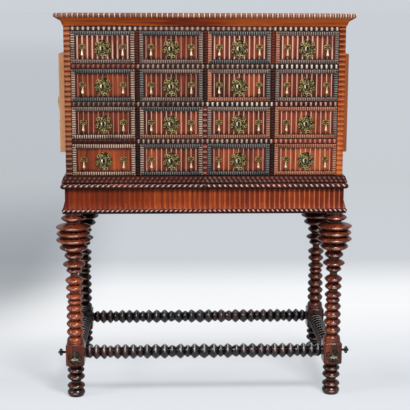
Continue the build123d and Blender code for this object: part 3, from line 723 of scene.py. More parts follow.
def stretcher_stations(crests, radii, reach):
    """Crests mirrored about the middle, hollows between them nearer to the smaller of each pair.

    A neck and a stub end the row, just past `reach`, which is the face of the leg's block.
    """
    place, radius = np.array(crests, float), np.array(radii, float)
    place = np.concatenate([-place[:0:-1], place])
    radius = np.concatenate([radius[:0:-1], radius])
    hollow = place[:-1] + (place[1:] - place[:-1]) * radius[:-1] / (radius[:-1] + radius[1:])
    crest = np.stack([place, radius], 1)
    valley = np.stack([hollow, 0 * hollow + STRETCHER_HOLLOW], 1)
    between = np.stack([crest[:-1], valley], 1).reshape(-1, 2)
    end = np.array([[reach + 10, STUB], [reach + 0.5, STUB], [reach - 0.5, 18],
                    [reach - 6, STRETCHER_HOLLOW]])
    return np.concatenate([end * [-1, 1], between, crest[-1:], end[::-1]])


def stretcher(stations, seed, tone, wear_and_highlight):
    """Beads along Z, brighter where the direction `wear_and_highlight` in X and Y points outwards and
    darker the other way: a painted highlight, with wear, on the upper side and painted shade below.
    """
    height, radius, rise = beads(stations, 6, crest=1.35)
    shape = turning(height, radius, rise, sides=40)
    # Painted highlight on the upper side, painted shade below it.
    towards = shape.points[:, :2] @ np.array(wear_and_highlight) / BOLD
    shape.rise = shape.rise * np.clip(0.5 + 0.6 * towards, 0.3, 1.0)
    wandering = tone + 0.9 * np.sin(shape.points[:, 2] / 95 + seed)
    return cut_from(shape, seed, wandering, lengthways=2)


# %% Two long and two short stretchers
long_crests = sorted([(at, BOLD) for at in LONG_BOLD] + [(at, THIN) for at in LONG_THIN] + [LONG_END])
long_stations = stretcher_stations(*zip(*long_crests), LEG_X - BLOCK)
short_stations = stretcher_stations(np.arange(SHORT_CRESTS) * SHORT_PITCH, [BOLD] * SHORT_CRESTS,
                                    LEG_Y - BLOCK)
stretchers = []
for number, side in enumerate((-1, 1)):
    long_one = stretcher(long_stations, 5 + number, -0.3, (0.8, -0.6))
    stretchers.append(placed(long_one, (0, side * LEG_Y, LONG_Z), (0, 0, 1), (0, 1, 0), (1, 0, 0)))
    short_one = stretcher(short_stations, 8 + number, -0.5, (0.0, 1.0))
    stretchers.append(placed(short_one, (side * LEG_X, 0, SHORT_Z), (1, 0, 0), (0, 0, 1), (0, 1, 0)))
piece("turned_stretchers", stretchers, [EBONISED], STAND, ["stand_stretchers"])

# %% [markdown]
# ## The frieze
# The stand's top is a frame of four fluted boards, with a post inside each corner. A rope moulding
# runs along its top edge and another along its foot, and the board flares out to meet the lower one.
# The ripples of a rope lean, and they lean the other way past the middle, so that the corners match.
# Each length is a section carried along a line and swollen by a wave. A Wave or Displace modifier on
# a flat board would do for the flutes alone, but it would tear the mitred corners.

# %% Frieze boards
ROPE_PROUD = 12
FRIEZE_X, FRIEZE_Y = span("stand_frame")[1][:2] - ROPE_PROUD
FRIEZE_LOW, FRIEZE_HIGH, FLUTE_TOP, FLARE_TOP = 656, 759.5, 739.5, 698
FLARE_DROP, FLARE_OUT, FLUTE_DEPTH, FLUTE_PITCH = 27, 8.0, 1.6, 17.25


def frieze_board(length, ends):
    """Flat above, fluted below, and curved outwards to the lower moulding.

    The curve goes out by the square of the share of the way down.
    """
    flute_z = np.linspace(FLUTE_TOP, FLARE_TOP, 10)
    down = np.linspace(0.1, 1, 8)
    front = np.concatenate([
        np.stack([0 * flute_z - FLUTE_DEPTH, flute_z], 1),
        np.stack([-FLUTE_DEPTH + FLARE_OUT * down ** 2, FLARE_TOP - FLARE_DROP * down], 1)])
    behind = [(-20, FRIEZE_LOW), (-20, FRIEZE_HIGH), (-FLUTE_DEPTH, FRIEZE_HIGH),
              (-FLUTE_DEPTH, FLUTE_TOP + 1)]
    section = np.concatenate([behind, front, [(4, 670), (-2, 669), (-2, FRIEZE_LOW)]])
    swell = np.zeros_like(section)
    swell[len(behind):len(behind) + len(front), 0] = FLUTE_DEPTH
    return moulding(section, length, ends, swell, FLUTE_PITCH, steps=8, wave=ridges)


def corner_post(x, y):
    """A square tube about the upright line at (x, y), as high as the frieze."""
    outer, inner = eased(SQUARE * 25.0, 1.5, 2), eased(SQUARE * 14.2, 0.3, 2)
    rings = np.stack([inner, outer, outer, inner])
    level = np.array([655.2, 655.2, 759.5, 759.5])[:, None, None] + 0 * rings[..., :1]
    return placed(hoop(np.concatenate([rings, level], -1)), (x, y, 0))


POST_IN = 20
frieze = four_ways(FRIEZE_X, -FRIEZE_Y, FRIEZE_Y, frieze_board, lengthways=2)
# Painted highlight: the flutes' rise grows from left to right, so that their crests are brightest on
# the right. The front's tone is darkest at its two corners.
along = frieze[0].points[:, 0]
frieze[0].rise = frieze[0].rise * np.interp(along, [-475, 0, 300], [0.5, 0.75, 1.0])
frieze[0].tone = np.interp(along, [-475, -468, -462, -300, -150, 0, 300, 462, 470],
                           [-4.5, -4, -0.4, 0.1, 0.5, 0.3, 0.0, -0.6, -2.0])
posts = [cut_from(corner_post(x * (LEG_X - POST_IN), y * (LEG_Y - POST_IN)), 20 + 2 * x + y, 0.0,
                  lengthways=2)
         for x in (-1, 1) for y in (-1, 1)]
piece("frieze_frame", frieze + posts, [FRIEZE_WOOD], STAND, ["stand_frame"])


# %% Rope mouldings of the stand
def upper_rope(length, ends):
    """Half an oval in section, swollen into leaning lobes."""
    middle, half = 749.3, 10.2
    turn = np.linspace(math.pi / 2, -math.pi / 2, 13)
    arc = np.stack([2.4 + 7.0 * np.cos(turn), middle + half * np.sin(turn)], 1)
    section = np.concatenate([[(-0.8, middle - half), (-0.8, middle + half)], arc])
    swell = np.zeros_like(section)
    swell[2:, 0] = 3.8 * np.cos(turn)
    return moulding(section, length, ends, swell, 18.5, lean=0.7, steps=12)


def lower_rope(length, ends):
    """The same rope, smaller, on a thin flat fillet."""
    turn = np.linspace(math.pi / 2, -math.pi / 2, 13)
    arc = np.stack([3 + 4.6 * np.cos(turn), 665 + 6.6 * np.sin(turn)], 1)
    section = np.concatenate([[(7.5, 655.1), (-0.8, 655.1), (-0.8, 671.5)], arc, [(7.5, 658.3)]])
    swell = np.zeros_like(section)
    swell[3:-1, 0] = 3.3 * np.cos(turn)
    return moulding(section, length, ends, swell, 16.3, lean=0.75, steps=10)


# Light is painted into the ropes: their rise is scaled by height, so the lobes lie in painted shade at
# their lower edge and are brightest, in painted highlight, at and a little above their middle.
for name, make, heights, wear_and_painted_light in (
        ("upper", upper_rope, [739, 745, 749, 754, 758], [0, 0.3, 1, 1, 0.5]),
        ("lower", lower_rope, [657, 661, 664, 668, 671.5], [0.3, 0.85, 1, 1, 0.45])):
    ropes = four_ways(FRIEZE_X, -FRIEZE_Y, FRIEZE_Y, make)
    for rope in ropes:
        rope.rise = rope.rise * np.interp(rope.points[:, 2], heights, wear_and_painted_light)
    piece(f"frieze_{name}_rope", ropes, [DARK_RIPPLE], STAND)

# %% [markdown]
# ## The case front
# Strips of rippled wood are glued over the front edges of the case: two posts, a top rail, and thin
# strips on the shelves and partitions. A wide rail runs round the foot of the case on three sides and
# leans outwards over the stand. Their ripples cross the strip, so each one catches the light as a
# dash. A bump in the finish would darken and brighten them too, but their outlines would stay
# straight, and against the pale studio the ripples of the posts have to show.

# %% Base rail
CASE_X, CASE_BACK, CASE_HIGH = span("case_carcass")[1]
FRONT_EDGE = span("case_carcass")[0][1]
CASE_FRONT = span("drawer_r1c1")[0][1]
SLOPE_LOW, SLOPE_HIGH = 761.5, 781.6


def base_rail(inner):
    """Makes rails whose section starts at `inner`, behind the case's front edge or beside the case."""
    def make(length, ends):
        slope = np.stack([np.linspace(13.0, 6.0, 11), np.linspace(SLOPE_LOW, SLOPE_HIGH, 11)], 1)
        section = np.concatenate([[(inner, 782.9), (inner, 760.2), (12.2, 760.2)], slope,
                                  [(5.0, 782.9)]])
        swell = np.zeros_like(section)
        swell[3:-1, 0] = 2.3
        return moulding(section, length, ends, swell, 16.3, lean=0.7, steps=12)
    return make


rail = four_ways(CASE_X, CASE_FRONT, CASE_BACK, base_rail(-4.9), "front")
rail += four_ways(CASE_X, CASE_FRONT, CASE_BACK, base_rail(0.1), "right left")
# Painted highlight: the slope's rise is scaled by height so that its ripples light up in two rows.
for length in rail:
    level = (length.points[:, 2] - SLOPE_LOW) / (SLOPE_HIGH - SLOPE_LOW)
    length.rise = length.rise * (0.7 + 0.3 * np.abs(np.sin(2 * math.pi * level)))
piece("case_base_rail", rail, [RAIL_RIPPLE], STAND)


# %% A strip
def strip(low, high, pitch, upright, seed, tone, finish=0):
    """A rippled strip from (x, z) to (x, z) on the case's front edges.

    Across it the section is half an oval, and each ripple swells it in thickness and in width.
    """
    low, high = np.array(low, float), np.array(high, float)
    size, middle = high - low, (low + high) / 2
    width, length = (size[0], size[1]) if upright else (size[1], size[0])
    turn = np.linspace(0, math.pi, 9)
    half = width / 2 - (1.2 if upright else 2.9)
    arc = np.stack([half * np.cos(turn), 1.2 + 1.4 * np.sin(turn)], 1)
    section = np.concatenate([[(-half, 0), (half, 0)], arc])
    swell = np.zeros_like(section)
    swell[2:, 0] = 1.15 * np.cos(turn)
    swell[2:, 1] = 2.35 * np.sin(turn) ** 0.6
    shape = moulding(section, length, (0, 0), swell, pitch, steps=8)
    along, across = ((0, 0, 1), (1, 0, 0)) if upright else ((1, 0, 0), (0, 0, 1))
    return cut_from(placed(shape, (middle[0], FRONT_EDGE, middle[1]), along, across, (0, -1, 0)),
                    seed, tone, finish)


print("faces of a short strip:", len(strip((0, 0), (200, 17), 16.4, False, 1, 0).faces))

# %% Posts and top rail
GREY, LEFT, UPRIGHT, RED, PALE, RIGHT = range(6)
COLUMNS = [float(np.mean(span(f"drawer_r1c{column}"), axis=0)[0]) for column in range(1, 5)]
ROWS = [float(np.mean(span(f"drawer_r{row}c1"), axis=0)[2]) for row in range(1, 5)]
BAY = COLUMNS[1] - COLUMNS[0]
OPENING_X, _, OPENING_HIGH = span("drawer_dividers")[1]
OPENING_LOW = span("drawer_dividers")[0][2]
POST_X, POST_HALF = (CASE_X + OPENING_X) / 2, (CASE_X - OPENING_X) / 2
print("columns:", COLUMNS, "rows:", ROWS)


def by_column(shape, woods, tones, painted_light_by_column):
    """A strip whose wood, tone and painted light on its crests differ over the four columns of drawers.
    """
    column = np.clip((shape.points[:, 0] + 2 * BAY) // BAY, 0, 3).astype(int)
    shape.tone, shape.rise = np.array(tones)[column], shape.rise * np.array(painted_light_by_column)[column]
    shape.finish = np.array(woods)[column[shape.faces[:, 0]]]
    return shape


strips = [strip((side * POST_X - POST_HALF, OPENING_LOW), (side * POST_X + POST_HALF, CASE_HIGH),
                16.9, True, 30 + side, 0.3, wood)
          for side, wood in ((-1, LEFT), (1, RIGHT))]
strips[0].tone = np.interp(strips[0].points[:, 2], [783, 900, 1200], [-1.0, 0.0, 0.5])
strips[1].tone = np.interp(strips[1].points[:, 2], [783, 900, 1150], [1.4, 0.6, -0.8])
top_rail = strip((-OPENING_X, OPENING_HIGH), (OPENING_X, CASE_HIGH), 17.3, False, 33, -0.2)
strips.append(by_column(top_rail, [PALE, GREY, GREY, PALE], [0.8, 1.2, 0.9, 0.4], [1, 1, 1, 1]))

# %% Strips on shelves and partitions
SHELF_HALF, PARTITION_HALF, BAY_HALF_Z = 8.5, 7, 54.25
# Each shelf strip gives, column by column, its wood, its tone and a scale for its painted light.
SHELF_STRIPS = [([RED, GREY, GREY, PALE], [0.2, 0.0, -0.1, 0.0], [0.9, 0.95, 0.95, 1]),
                ([GREY, GREY, PALE, RED], [0.0, -0.3, 0.2, -0.3], [0.9, 0.95, 1, 1]),
                ([RED, GREY, GREY, RED], [-0.4, -0.2, -0.4, 1.0], [0.8, 0.97, 1, 0.96])]
ROW_TONES = [0.8, -0.4, -0.2, -1.0]
for row, looks in enumerate(SHELF_STRIPS):
    middle = (ROWS[row] + ROWS[row + 1]) / 2
    shelf_strip = strip((-OPENING_X, middle - SHELF_HALF), (OPENING_X, middle + SHELF_HALF), 16.4,
                        False, 34 + row, 0)
    strips.append(by_column(shelf_strip, *looks))
for row, z in enumerate(ROWS):
    for column in range(3):
        x = (COLUMNS[column] + COLUMNS[column + 1]) / 2
        red = column == 1 and row > 1
        tone = 0.3 if red else ROW_TONES[row] - 0.5 * (column == 0)
        upright = strip((x - PARTITION_HALF, z - BAY_HALF_Z), (x + PARTITION_HALF, z + BAY_HALF_Z),
                        16.8 if red else 8.4, True, 40 + 3 * row + column, tone,
                        RED if red else UPRIGHT)
        upright.rise = upright.rise * (0.94 if red else 1)
        strips.append(upright)
piece("case_front_strips", strips,
      [STRIP_RIPPLE, POST_DARK, PARTITION_RIPPLE, STRIP_RED, STRIP_PALE, POST_LIGHT],
      STAND, ["front_mouldings"])

# %% [markdown]
# ## The cornice
# The top board has a rippled edge on its front and sides, and a plain hollow moulding, the cove, fills
# the corner under it. The cove's smooth face is the one place where the grain shows clearly. Both are
# the moulding tool's work again: a section for each, mitred at the two front corners. Two bearers out
# of sight behind the cove carry the top board.

# %% Cornice
CORNICE_PITCH, EDGE_DEPTH = 8.62, 21.8
CORNICE_X = span("top_cornice")[1][0]
CORNICE_FRONT = span("top_cornice")[0][1]


def cornice_edge(length, ends):
    """A rounded edge, swollen into upright lobes."""
    turn = np.linspace(math.pi / 2, -math.pi / 2, 11)
    arc = np.stack([-6 + 3.2 * np.cos(turn), 1318.5 + 7.4 * np.sin(turn)], 1)
    section = np.concatenate([[(-22, 1311.1), (-22, 1325.9)], arc])
    swell = np.zeros_like(section)
    swell[2:, 0] = 2.8 * np.cos(turn)
    return moulding(section, length, ends, swell, CORNICE_PITCH, steps=6)


def cove(length, ends):
    """A quarter of an ellipse, upright at the case and level under the top board."""
    turn = np.linspace(0, math.pi / 2, 13)
    hollow = np.stack([1.2 + 22.8 * (1 - np.cos(turn)), 1284.2 + 26.7 * np.sin(turn)], 1)
    section = np.concatenate([hollow, [(-8, 1310.9), (-8, 1284.2)]])
    return moulding(section, length, ends)


edge = four_ways(CORNICE_X, CORNICE_FRONT, CASE_BACK, cornice_edge, "front right left")
along = edge[0].points[:, 0] + CORNICE_X
every_other = 1 + np.sin(math.pi * along / CORNICE_PITCH)
edge[0].rise = edge[0].rise * (1 - np.interp(along, [0, 1000], [0.14, 0.04]) * every_other)
top_board = board((EDGE_DEPTH - CORNICE_X, EDGE_DEPTH + CORNICE_FRONT, 1311.1),
                  (CORNICE_X - EDGE_DEPTH, CASE_BACK - 0.2, 1325.9), 0.5)
piece("cornice_top", edge + [cut_from(top_board, 60, -0.2, 1)], [CORNICE_RIPPLE, ROSEWOOD_PLAIN],
      STAND, ["top_cornice"])
coves = [cut_from(part, 63 + number, 0.45) for number, part in enumerate(
    four_ways(CASE_X, CASE_FRONT, CASE_BACK, cove, "front right left"))]
coves[0].tone = np.interp(coves[0].points[:, 0], [-500, -220, -80, 20, 110, 300],
                          [0.45, 0.4, -0.7, -0.3, 0.6, 0.8])
bearers = [cut_from(board((-462, y - 17, 1284.2), (462, y + 17, 1310.8), 0.6), 61 + y * 0.01)
           for y in (-206, 217)]
piece("cornice_cove", coves + bearers, [ROSEWOOD_PLAIN], STAND)

# %% [markdown]
# ## Drawers
# A drawer is a plain box behind a handsome front. The front board carries a frame of fine rippled
# moulding, mitred at its corners, and a field of upright flutes. All sixteen are alike, so one is drawn
# about its own middle and placed sixteen times, each cut from other wood. Linked copies of one mesh
# would save memory, but then all sixteen would show the same figure.

# %% The front of a drawer
HALF_X, _, HALF_Z = np.subtract(*span("drawer_r1c1")[::-1]) / 2
FRONT_BACK, DRAWER_BACK = -212, span("drawer_r1c1")[1][1]
FIELD_X, FIELD_Z, FIELD_PITCH, FRAME_SHADE = 91.5, 39, 18.3, 8
OUT = (0, -1, 0)
FRAME_WAYS = [((0, FRONT_EDGE, HALF_Z), (0, 0, -1), (1, 0, 0), 2 * HALF_X),
              ((0, FRONT_EDGE, -HALF_Z), (0, 0, 1), (1, 0, 0), 2 * HALF_X),
              ((-HALF_X, FRONT_EDGE, 0), (1, 0, 0), (0, 0, 1), 2 * HALF_Z),
              ((HALF_X, FRONT_EDGE, 0), (-1, 0, 0), (0, 0, 1), 2 * HALF_Z)]
print("half a drawer front:", HALF_X, "by", HALF_Z)


def frame_length(length, ends):
    """A length of frame: half an oval 13 mm wide, rippled across. Across is counted inwards."""
    turn = np.linspace(0, math.pi, 9)
    arc = np.stack([7.1 + 6.5 * np.cos(turn), 1.3 + 1.5 * np.sin(turn)], 1)
    section = np.concatenate([[(0.6, 0), (13.6, 0)], arc])
    swell = np.zeros_like(section)
    swell[2:, 1] = 2.15 * np.sin(turn) ** 0.7
    return moulding(section, length, ends, swell, 7.5, steps=6)


def eleven_ridges(part):
    """Eleven ridges in the length of ten ripples, so that one of them stands in the middle."""
    return ridges(1.1 * part)


def fluted_field(tone, ridge_highlight):
    """A thin board with eleven upright ridges, 78 mm high, and the tone at each of its points.

    `ridge_highlight` scales the highlight painted on the ridges. Painted shade from the frame
    darkens the last 8 mm before it.
    """
    level = np.array([39, 34, 28, 0, -28, -35, -39])
    section = np.concatenate([[(-FIELD_Z, 0), (FIELD_Z, 0), (FIELD_Z, 1.2)],
                              np.stack([level * 0.96, 0 * level + 2.6], 1), [(-FIELD_Z, 1.2)]])
    swell = np.zeros_like(section)
    swell[3:-1, 1] = 1.35
    field = moulding(section, 2 * FIELD_X, (0, 0), swell, FIELD_PITCH, steps=11, wave=eleven_ridges)
    field.rise = field.rise * ridge_highlight
    # Painted shade: the tone falls over the last few millimetres before the frame.
    inside = np.minimum(FIELD_X - np.abs(field.points[:, 0]), FIELD_Z - np.abs(field.points[:, 1]))
    return field, tone - 1.6 * np.clip(1 - inside / FRAME_SHADE, 0, 1)


def drawer_front(seed, tone, ridge_highlight, frame_woods):
    """Front board, mitred frame and fluted field, all in the plane of X and Z about the middle.

    frame_woods has a letter for the top, bottom, left and right length of the frame: d for nearly
    black, g for grey brown, w for rubbed pale, and p for red brown, in the order of the front's
    finishes. Level lengths take a little less of the paler crest, wear and painted highlight, than
    upright ones, but for the pale wood.
    """
    parts = [cut_from(board((-HALF_X, FRONT_EDGE, -HALF_Z), (HALF_X, FRONT_BACK, HALF_Z), 1.0),
                      seed, tone)]
    for number, (origin, across, along, length) in enumerate(FRAME_WAYS):
        moulded = frame_length(length, (-1, -1))
        finish = "d.gwp".index(frame_woods[number]) + 1
        # The level lengths take a little less of the wear and painted highlight.
        moulded.rise = moulded.rise * (0.96 if number < 2 and finish != 4 else 1)
        moulded = placed(moulded, origin, along, across, OUT)
        parts.append(cut_from(moulded, seed + 0.3 * number, 0.0, finish))
    field, frame_shaded_tone = fluted_field(tone, ridge_highlight)
    field = placed(field, (0, FRONT_EDGE, 0), (1, 0, 0), (0, 0, 1), OUT)
    return parts + [cut_from(field, seed + 2, frame_shaded_tone, 2, lengthways=1)]


# %% The box of a drawer
def drawer_box(seed):
    """Two sides, a back and a bottom behind the front board."""
    sides = [board((x - 4.5, FRONT_BACK, -HALF_Z), (x + 4.5, DRAWER_BACK, 41.5), 0.8, along=1)
             for x in (-101.5, 101.5)]
    back = board((-97, DRAWER_BACK - 9, -46.5), (97, DRAWER_BACK, 41.5), 0.8)
    bottom = board((-97, FRONT_BACK, -HALF_Z), (97, DRAWER_BACK, -46.5), 0.8)
    return [cut_from(part, seed + number, 0.1) for number, part in enumerate(sides + [back, bottom])]


print("faces of a drawer's box:", len(joined(drawer_box(0)).faces))

# %% [markdown]
# ## Brass on the drawers
# A scalloped escutcheon stands in the middle of each front, pierced all over, with a domed boss and a
# keyhole. At each side a small rosette carries a tear-drop pull on a staple, and an iron lock is let in
# behind. The holes could be cut by booleans or faked with a transparent finish. The pierced cells are
# rings of points round their holes instead, so each hole is real and has a thickness.

# %% The parts of the brass
PLATE_Y, PLATE_Z, PULL_X, PULL_Z, AXIS_Y = -234.0, -4.0, 67.0, 5.0, -241.0
BOSS_RADIUS = 11.4


def boss():
    """A dome round a keyhole, in X and Y, 6 mm high: a net closed both ways.

    A highlight is painted on its metal at the two sides of the keyhole, stronger on the left.
    """
    a = np.linspace(0, 2 * math.pi, 24, endpoint=False)
    key = np.stack([np.sin(a) * (4.5 + 1.0 * np.cos(a)), 8.6 * np.cos(a)], 1)
    rim = BOSS_RADIUS * np.stack([np.sin(a), np.cos(a)], 1)
    q = np.array([0, 0, 0.25, 0.5, 0.75, 0.93, 1, 1])[:, None, None]
    flat = key + (rim - key) * q
    distance = np.linalg.norm(flat, axis=-1) / BOSS_RADIUS
    dome = 1.4 + 5.0 * np.sqrt(np.clip(1 - distance ** 2, 0, 1))
    dome[0] = dome[-1] = 0.0
    # The painted highlight beside the keyhole.
    wear_and_painted_light = 1 - np.linalg.norm(np.abs(flat) - np.array([5.0, 2.5]), axis=-1) / 6
    wear_and_painted_light = np.clip(wear_and_painted_light, 0, 1) * (0.8 - 0.05 * flat[..., 0] + 0.02 * flat[..., 1])
    return hoop(np.concatenate([flat, dome[..., None]], -1), 0.2 + wear_and_painted_light)


def tongue(outline, x, size):
    """A flat outline (out, across) made thick: the places through it, across it and outwards.

    x gives each layer's place and `size` its share of the outline, so that the rims are eased.
    """
    flat = np.array(outline) * np.array(size)[:, None, None]
    return np.array(x)[:, None] + 0 * flat[..., 0], flat[..., 1], flat[..., 0]


def cheek(side):
    """One of the two ears that hold a drop: a rounded tongue standing out from the rosette."""
    outline = eased([(0, -3), (6.5, -3), (7.6, -1.5), (7.6, 1.5), (6.5, 3), (0, 3)], 1.0)
    x, y, z = tongue(outline, np.array([2.6, 2.9, 3.6, 3.9]) * side, [0.92, 1, 1, 0.92])
    return skin(np.stack([x, y, 1.5 + z], -1), 0.7)


PLATE = pierced_plate(58.5, 64, 10.0, 12, 1.5, rows=3)
ROSETTE = placed(pierced_plate(26, 22, 3.4, 6, 1.5, rows=1, notch=0.25), (0, -3.5, 0))
ROSETTE.rise = 0.55 + 0.45 * ROSETTE.rise
CENTRE = turning(np.array([0.0, 1.4, 1.9]), np.array([3.6, 3.6, 2.6]), sides=16)
# Painted shade: a black disc inside the keyhole and a black oval under the plate, so that the openings
# look dark.
KEY_DARK = turning(np.array([2.6, 3.6]), np.array([8.8, 8.8]), sides=12)
SHADE_UNDER_PLATE = turning(np.array([-0.6, 0.2]), np.array([24.5, 24.5]), sides=20)
SHADE_UNDER_PLATE.points = SHADE_UNDER_PLATE.points * np.array([1, 1.1, 1])
print("faces of a plate:", len(PLATE.faces), "and of a rosette:", len(ROSETTE.faces))


# %% The brass of one drawer
def in_finish(shape, finish, rise=None):
    """The same shape in another of its piece's finishes, and with another rise if one is given."""
    return Shape(shape.points, shape.faces, shape.rise if rise is None else rise, finish=finish)


def drawer_brass():
    """Escutcheon, boss, rosettes and lock, facing the front. Black discs of painted shade lie under the
    plate and inside the keyhole.
    """
    facing = dict(x=(1, 0, 0), y=(0, 0, 1), z=OUT)
    parts = [in_finish(placed(shape, (0, PLATE_Y, PLATE_Z), **facing), finish, rise)
             for shape, finish, rise in (
                 (PLATE, 0, None), (boss(), 2, None), (KEY_DARK, 1, 0.0), (SHADE_UNDER_PLATE, 1, 0.0))]
    for side in (-1, 1):
        for shape in (ROSETTE, CENTRE, cheek(-1), cheek(1)):
            parts.append(placed(shape, (side * PULL_X, PLATE_Y, PULL_Z), **facing))
    lock = board((-22, FRONT_BACK, -25), (22, FRONT_BACK + 7, 25), 1.2)
    return parts + [in_finish(lock, 3, 0.5)]


print("faces of a drawer's brass:", len(joined(drawer_brass()).faces))

# %% The drops
DROP = [(2.2, 1.2), (0.6, 2.2), (-2.6, 1.2), (-9.0, 1.5), (-17.0, 2.3), (-23.5, 3.3), (-28.5, 4.4),
        (-31.5, 3.8), (-33.6, 1.5), (-35.6, 2.3), (-37.5, 0.8)]


def smooth_profile(stations, steps):
    """Heights and radii through all stations, eased from each to the next by half a cosine."""
    station = np.asarray(stations, float)
    t = np.linspace(0, 1, steps, endpoint=False)
    share = (1 - np.cos(math.pi * t)) / 2
    height = station[:-1, 0, None] + (station[1:, 0] - station[:-1, 0])[:, None] * t
    radius = station[:-1, 1, None] + (station[1:, 1] - station[:-1, 1])[:, None] * share
    return (np.append(height.ravel(), station[-1, 0]), np.append(radius.ravel(), station[-1, 1]))


DROP_LINE = smooth_profile(DROP, 4)
# The drop's rise is low at the top and at the tip and high round the lower body, where it is brightest.
DROP_RISE = np.interp(DROP_LINE[0], [-37.5, -34, -31, -13, -6], [0.1, 0.2, 0.85, 0.75, 0.25])
DROP_TURNED = turning(*DROP_LINE, DROP_RISE, sides=14)
print("faces of a drop:", len(DROP_TURNED.faces))


def drawer_drops():
    """The two drops of a drawer, each hanging from its own point of the hinge line."""
    return [placed(DROP_TURNED, (side * PULL_X, AXIS_Y, PULL_Z)) for side in (-1, 1)]


# %% Sixteen drawers
FIELD_TONE = [[-0.4, -0.4, -0.5, -0.2],
              [-0.1, -0.3, -0.3, -0.3],
              [-0.3, -0.3, -0.3, 0.3],
              [0.5, -0.2, 0.0, 1.0]]
# How strong the highlight painted on each drawer's ridges is, row by row.
FIELD_RIDGE_HIGHLIGHT = [[1.3, 0.8, 1.15, 1.2],
               [0.72, 0.8, 0.95, 0.95],
               [0.75, 0.95, 0.95, 0.95],
               [0.55, 0.9, 0.85, 0.9]]
FRAME_WOODS = [["dgww", "dggg", "ddpg", "ggpg"],
               ["ddww", "ggdd", "gppd", "gggd"],
               ["gwww", "dpww", "gpgp", "pppg"],
               ["wwww", "ddww", "dddd", "pppp"]]
FRONT_FINISHES = [ROSEWOOD, FRAME_DARK, ROSEWOOD, FRAME_GREY, FRAME_PALE, FRAME_BROWN]
BRASS_FINISHES = [BRASS, OPENING_SHADE, BRASS_BRIGHT, IRON]


def moved(shapes, x, z):
    """The shapes of one drawer, carried from its own middle to its bay in the case."""
    return [placed(shape, (x, 0, z)) for shape in shapes]


for row, z in enumerate(ROWS):
    for column, x in enumerate(COLUMNS):
        name = f"r{row + 1}c{column + 1}"
        drawer, seed = "drawer_" + name, 70 + 4 * row + column
        front = drawer_front(seed, FIELD_TONE[row][column], FIELD_RIDGE_HIGHLIGHT[row][column],
                             FRAME_WOODS[row][column])
        piece("front_" + name, moved(front, x, z), FRONT_FINISHES, drawer, [drawer])
        piece("box_" + name, moved(drawer_box(seed), x, z), [DRAWER_WOOD], drawer)
        piece("brass_" + name, moved(drawer_brass(), x, z), BRASS_FINISHES, drawer,
              [drawer + "_brass"])
        piece("drops_" + name, moved(drawer_drops(), x, z), [BRASS_BRIGHT], drawer + "_pulls",
              [drawer + "_pulls"])

# %% [markdown]
# ## Side panels and carrying handles
# Each side of the case has a raised panel in a moulded border, and a brass bail to carry it by. The
# bail hangs from two lugs on round plates and is thickest where the hand takes it. It is one round
# section carried along a bent line, as a curve with a bevel would be, and its ends are closed.

# %% Side panels
PANEL_X, PANEL_Y, PANEL_HIGH = span("side_panels")[1]
PANEL_LOW = span("side_panels")[0][2]
PANEL_Z, PANEL_HALF_Z = (PANEL_HIGH + PANEL_LOW) / 2, (PANEL_HIGH - PANEL_LOW) / 2
PANEL_RINGS = [(34.2, 0.5, 0), (34.2, 0.5, 14), (44, 1.0, 25), (45.5, 1.0, 25.9)]
PANEL_TONE = {-1: 1.1, 1: -2.4}


def panel_border(length, ends):
    """A step, a hollow and a lip from the outer edge inwards. Across is counted inwards."""
    section = [(0.2, 0), (33.8, 0), (33.8, 15), (30, 15.5), (25, 17), (21, 20), (18, 24.5),
               (15.5, 25.8), (3.0, 25.8), (1.0, 25.0), (0.2, 23.5)]
    return moulding(section, length, ends)


def side_panel(side):
    """Four mitred border lengths and a field with a wide bevel, on one side of the case.

    Each of PANEL_RINGS gives how far the field's outline lies inside the panel's, how much its
    corners are eased, and how far it stands out.
    """
    face, out, tone = CASE_X * side, (side, 0, 0), PANEL_TONE[side]
    parts = []
    for number, (edge, across, along, length) in enumerate([
            ((face, 0, PANEL_HIGH), (0, 0, -1), (0, 1, 0), 2 * PANEL_Y),
            ((face, 0, PANEL_LOW), (0, 0, 1), (0, 1, 0), 2 * PANEL_Y),
            ((face, -PANEL_Y, PANEL_Z), (0, 1, 0), (0, 0, 1), 2 * PANEL_HALF_Z),
            ((face, PANEL_Y, PANEL_Z), (0, -1, 0), (0, 0, 1), 2 * PANEL_HALF_Z)]):
        border = placed(panel_border(length, (-1, -1)), edge, along, across, out)
        parts.append(cut_from(border, 90 + number + side, tone))
    half = np.array([PANEL_Y, PANEL_HALF_Z])
    rings = np.stack([eased(SQUARE * (half - inside), ease) for inside, ease, _ in PANEL_RINGS])
    level = np.array(PANEL_RINGS)[:, 2, None, None] + 0 * rings[..., :1]
    field = skin(np.concatenate([rings, level], -1))
    field = placed(field, (face, 0, PANEL_Z), (0, 1, 0), (0, 0, 1), out)
    return parts + [cut_from(field, 95 + side, 0.5 * tone, lengthways=1)]


piece("side_panels_moulded", side_panel(-1) + side_panel(1), [PANEL_WOOD], STAND, ["side_panels"])


# %% A handle
def bail():
    """Half the line is given and mirrored. The section is a circle square to the line."""
    line = np.array([(-56, 3.0), (-56, 0), (-56, -5), (-55.6, -11), (-53, -17), (-47, -22.5),
                     (-38, -28), (-30, -32), (-22, -34), (-11, -34)])
    line = np.concatenate([line, [(0, -34)], line[::-1] * [-1, 1]])
    radius = np.array([3.0, 3.8, 3.5, 2.9, 2.7, 2.7, 2.9, 3.3, 3.6, 3.8])
    radius = np.concatenate([radius, [3.95], radius[::-1]])[:, None]
    along = np.gradient(line, axis=0)
    along /= np.linalg.norm(along, axis=1, keepdims=True)
    square = np.stack([-along[:, 1], along[:, 0]], 1)
    a = np.linspace(0, 2 * math.pi, 16, endpoint=False)
    flat = line[:, None] + square[:, None] * (radius * np.cos(a))[..., None]
    return skin(np.stack([radius * np.sin(a), flat[..., 0], flat[..., 1]], -1), 0.85)


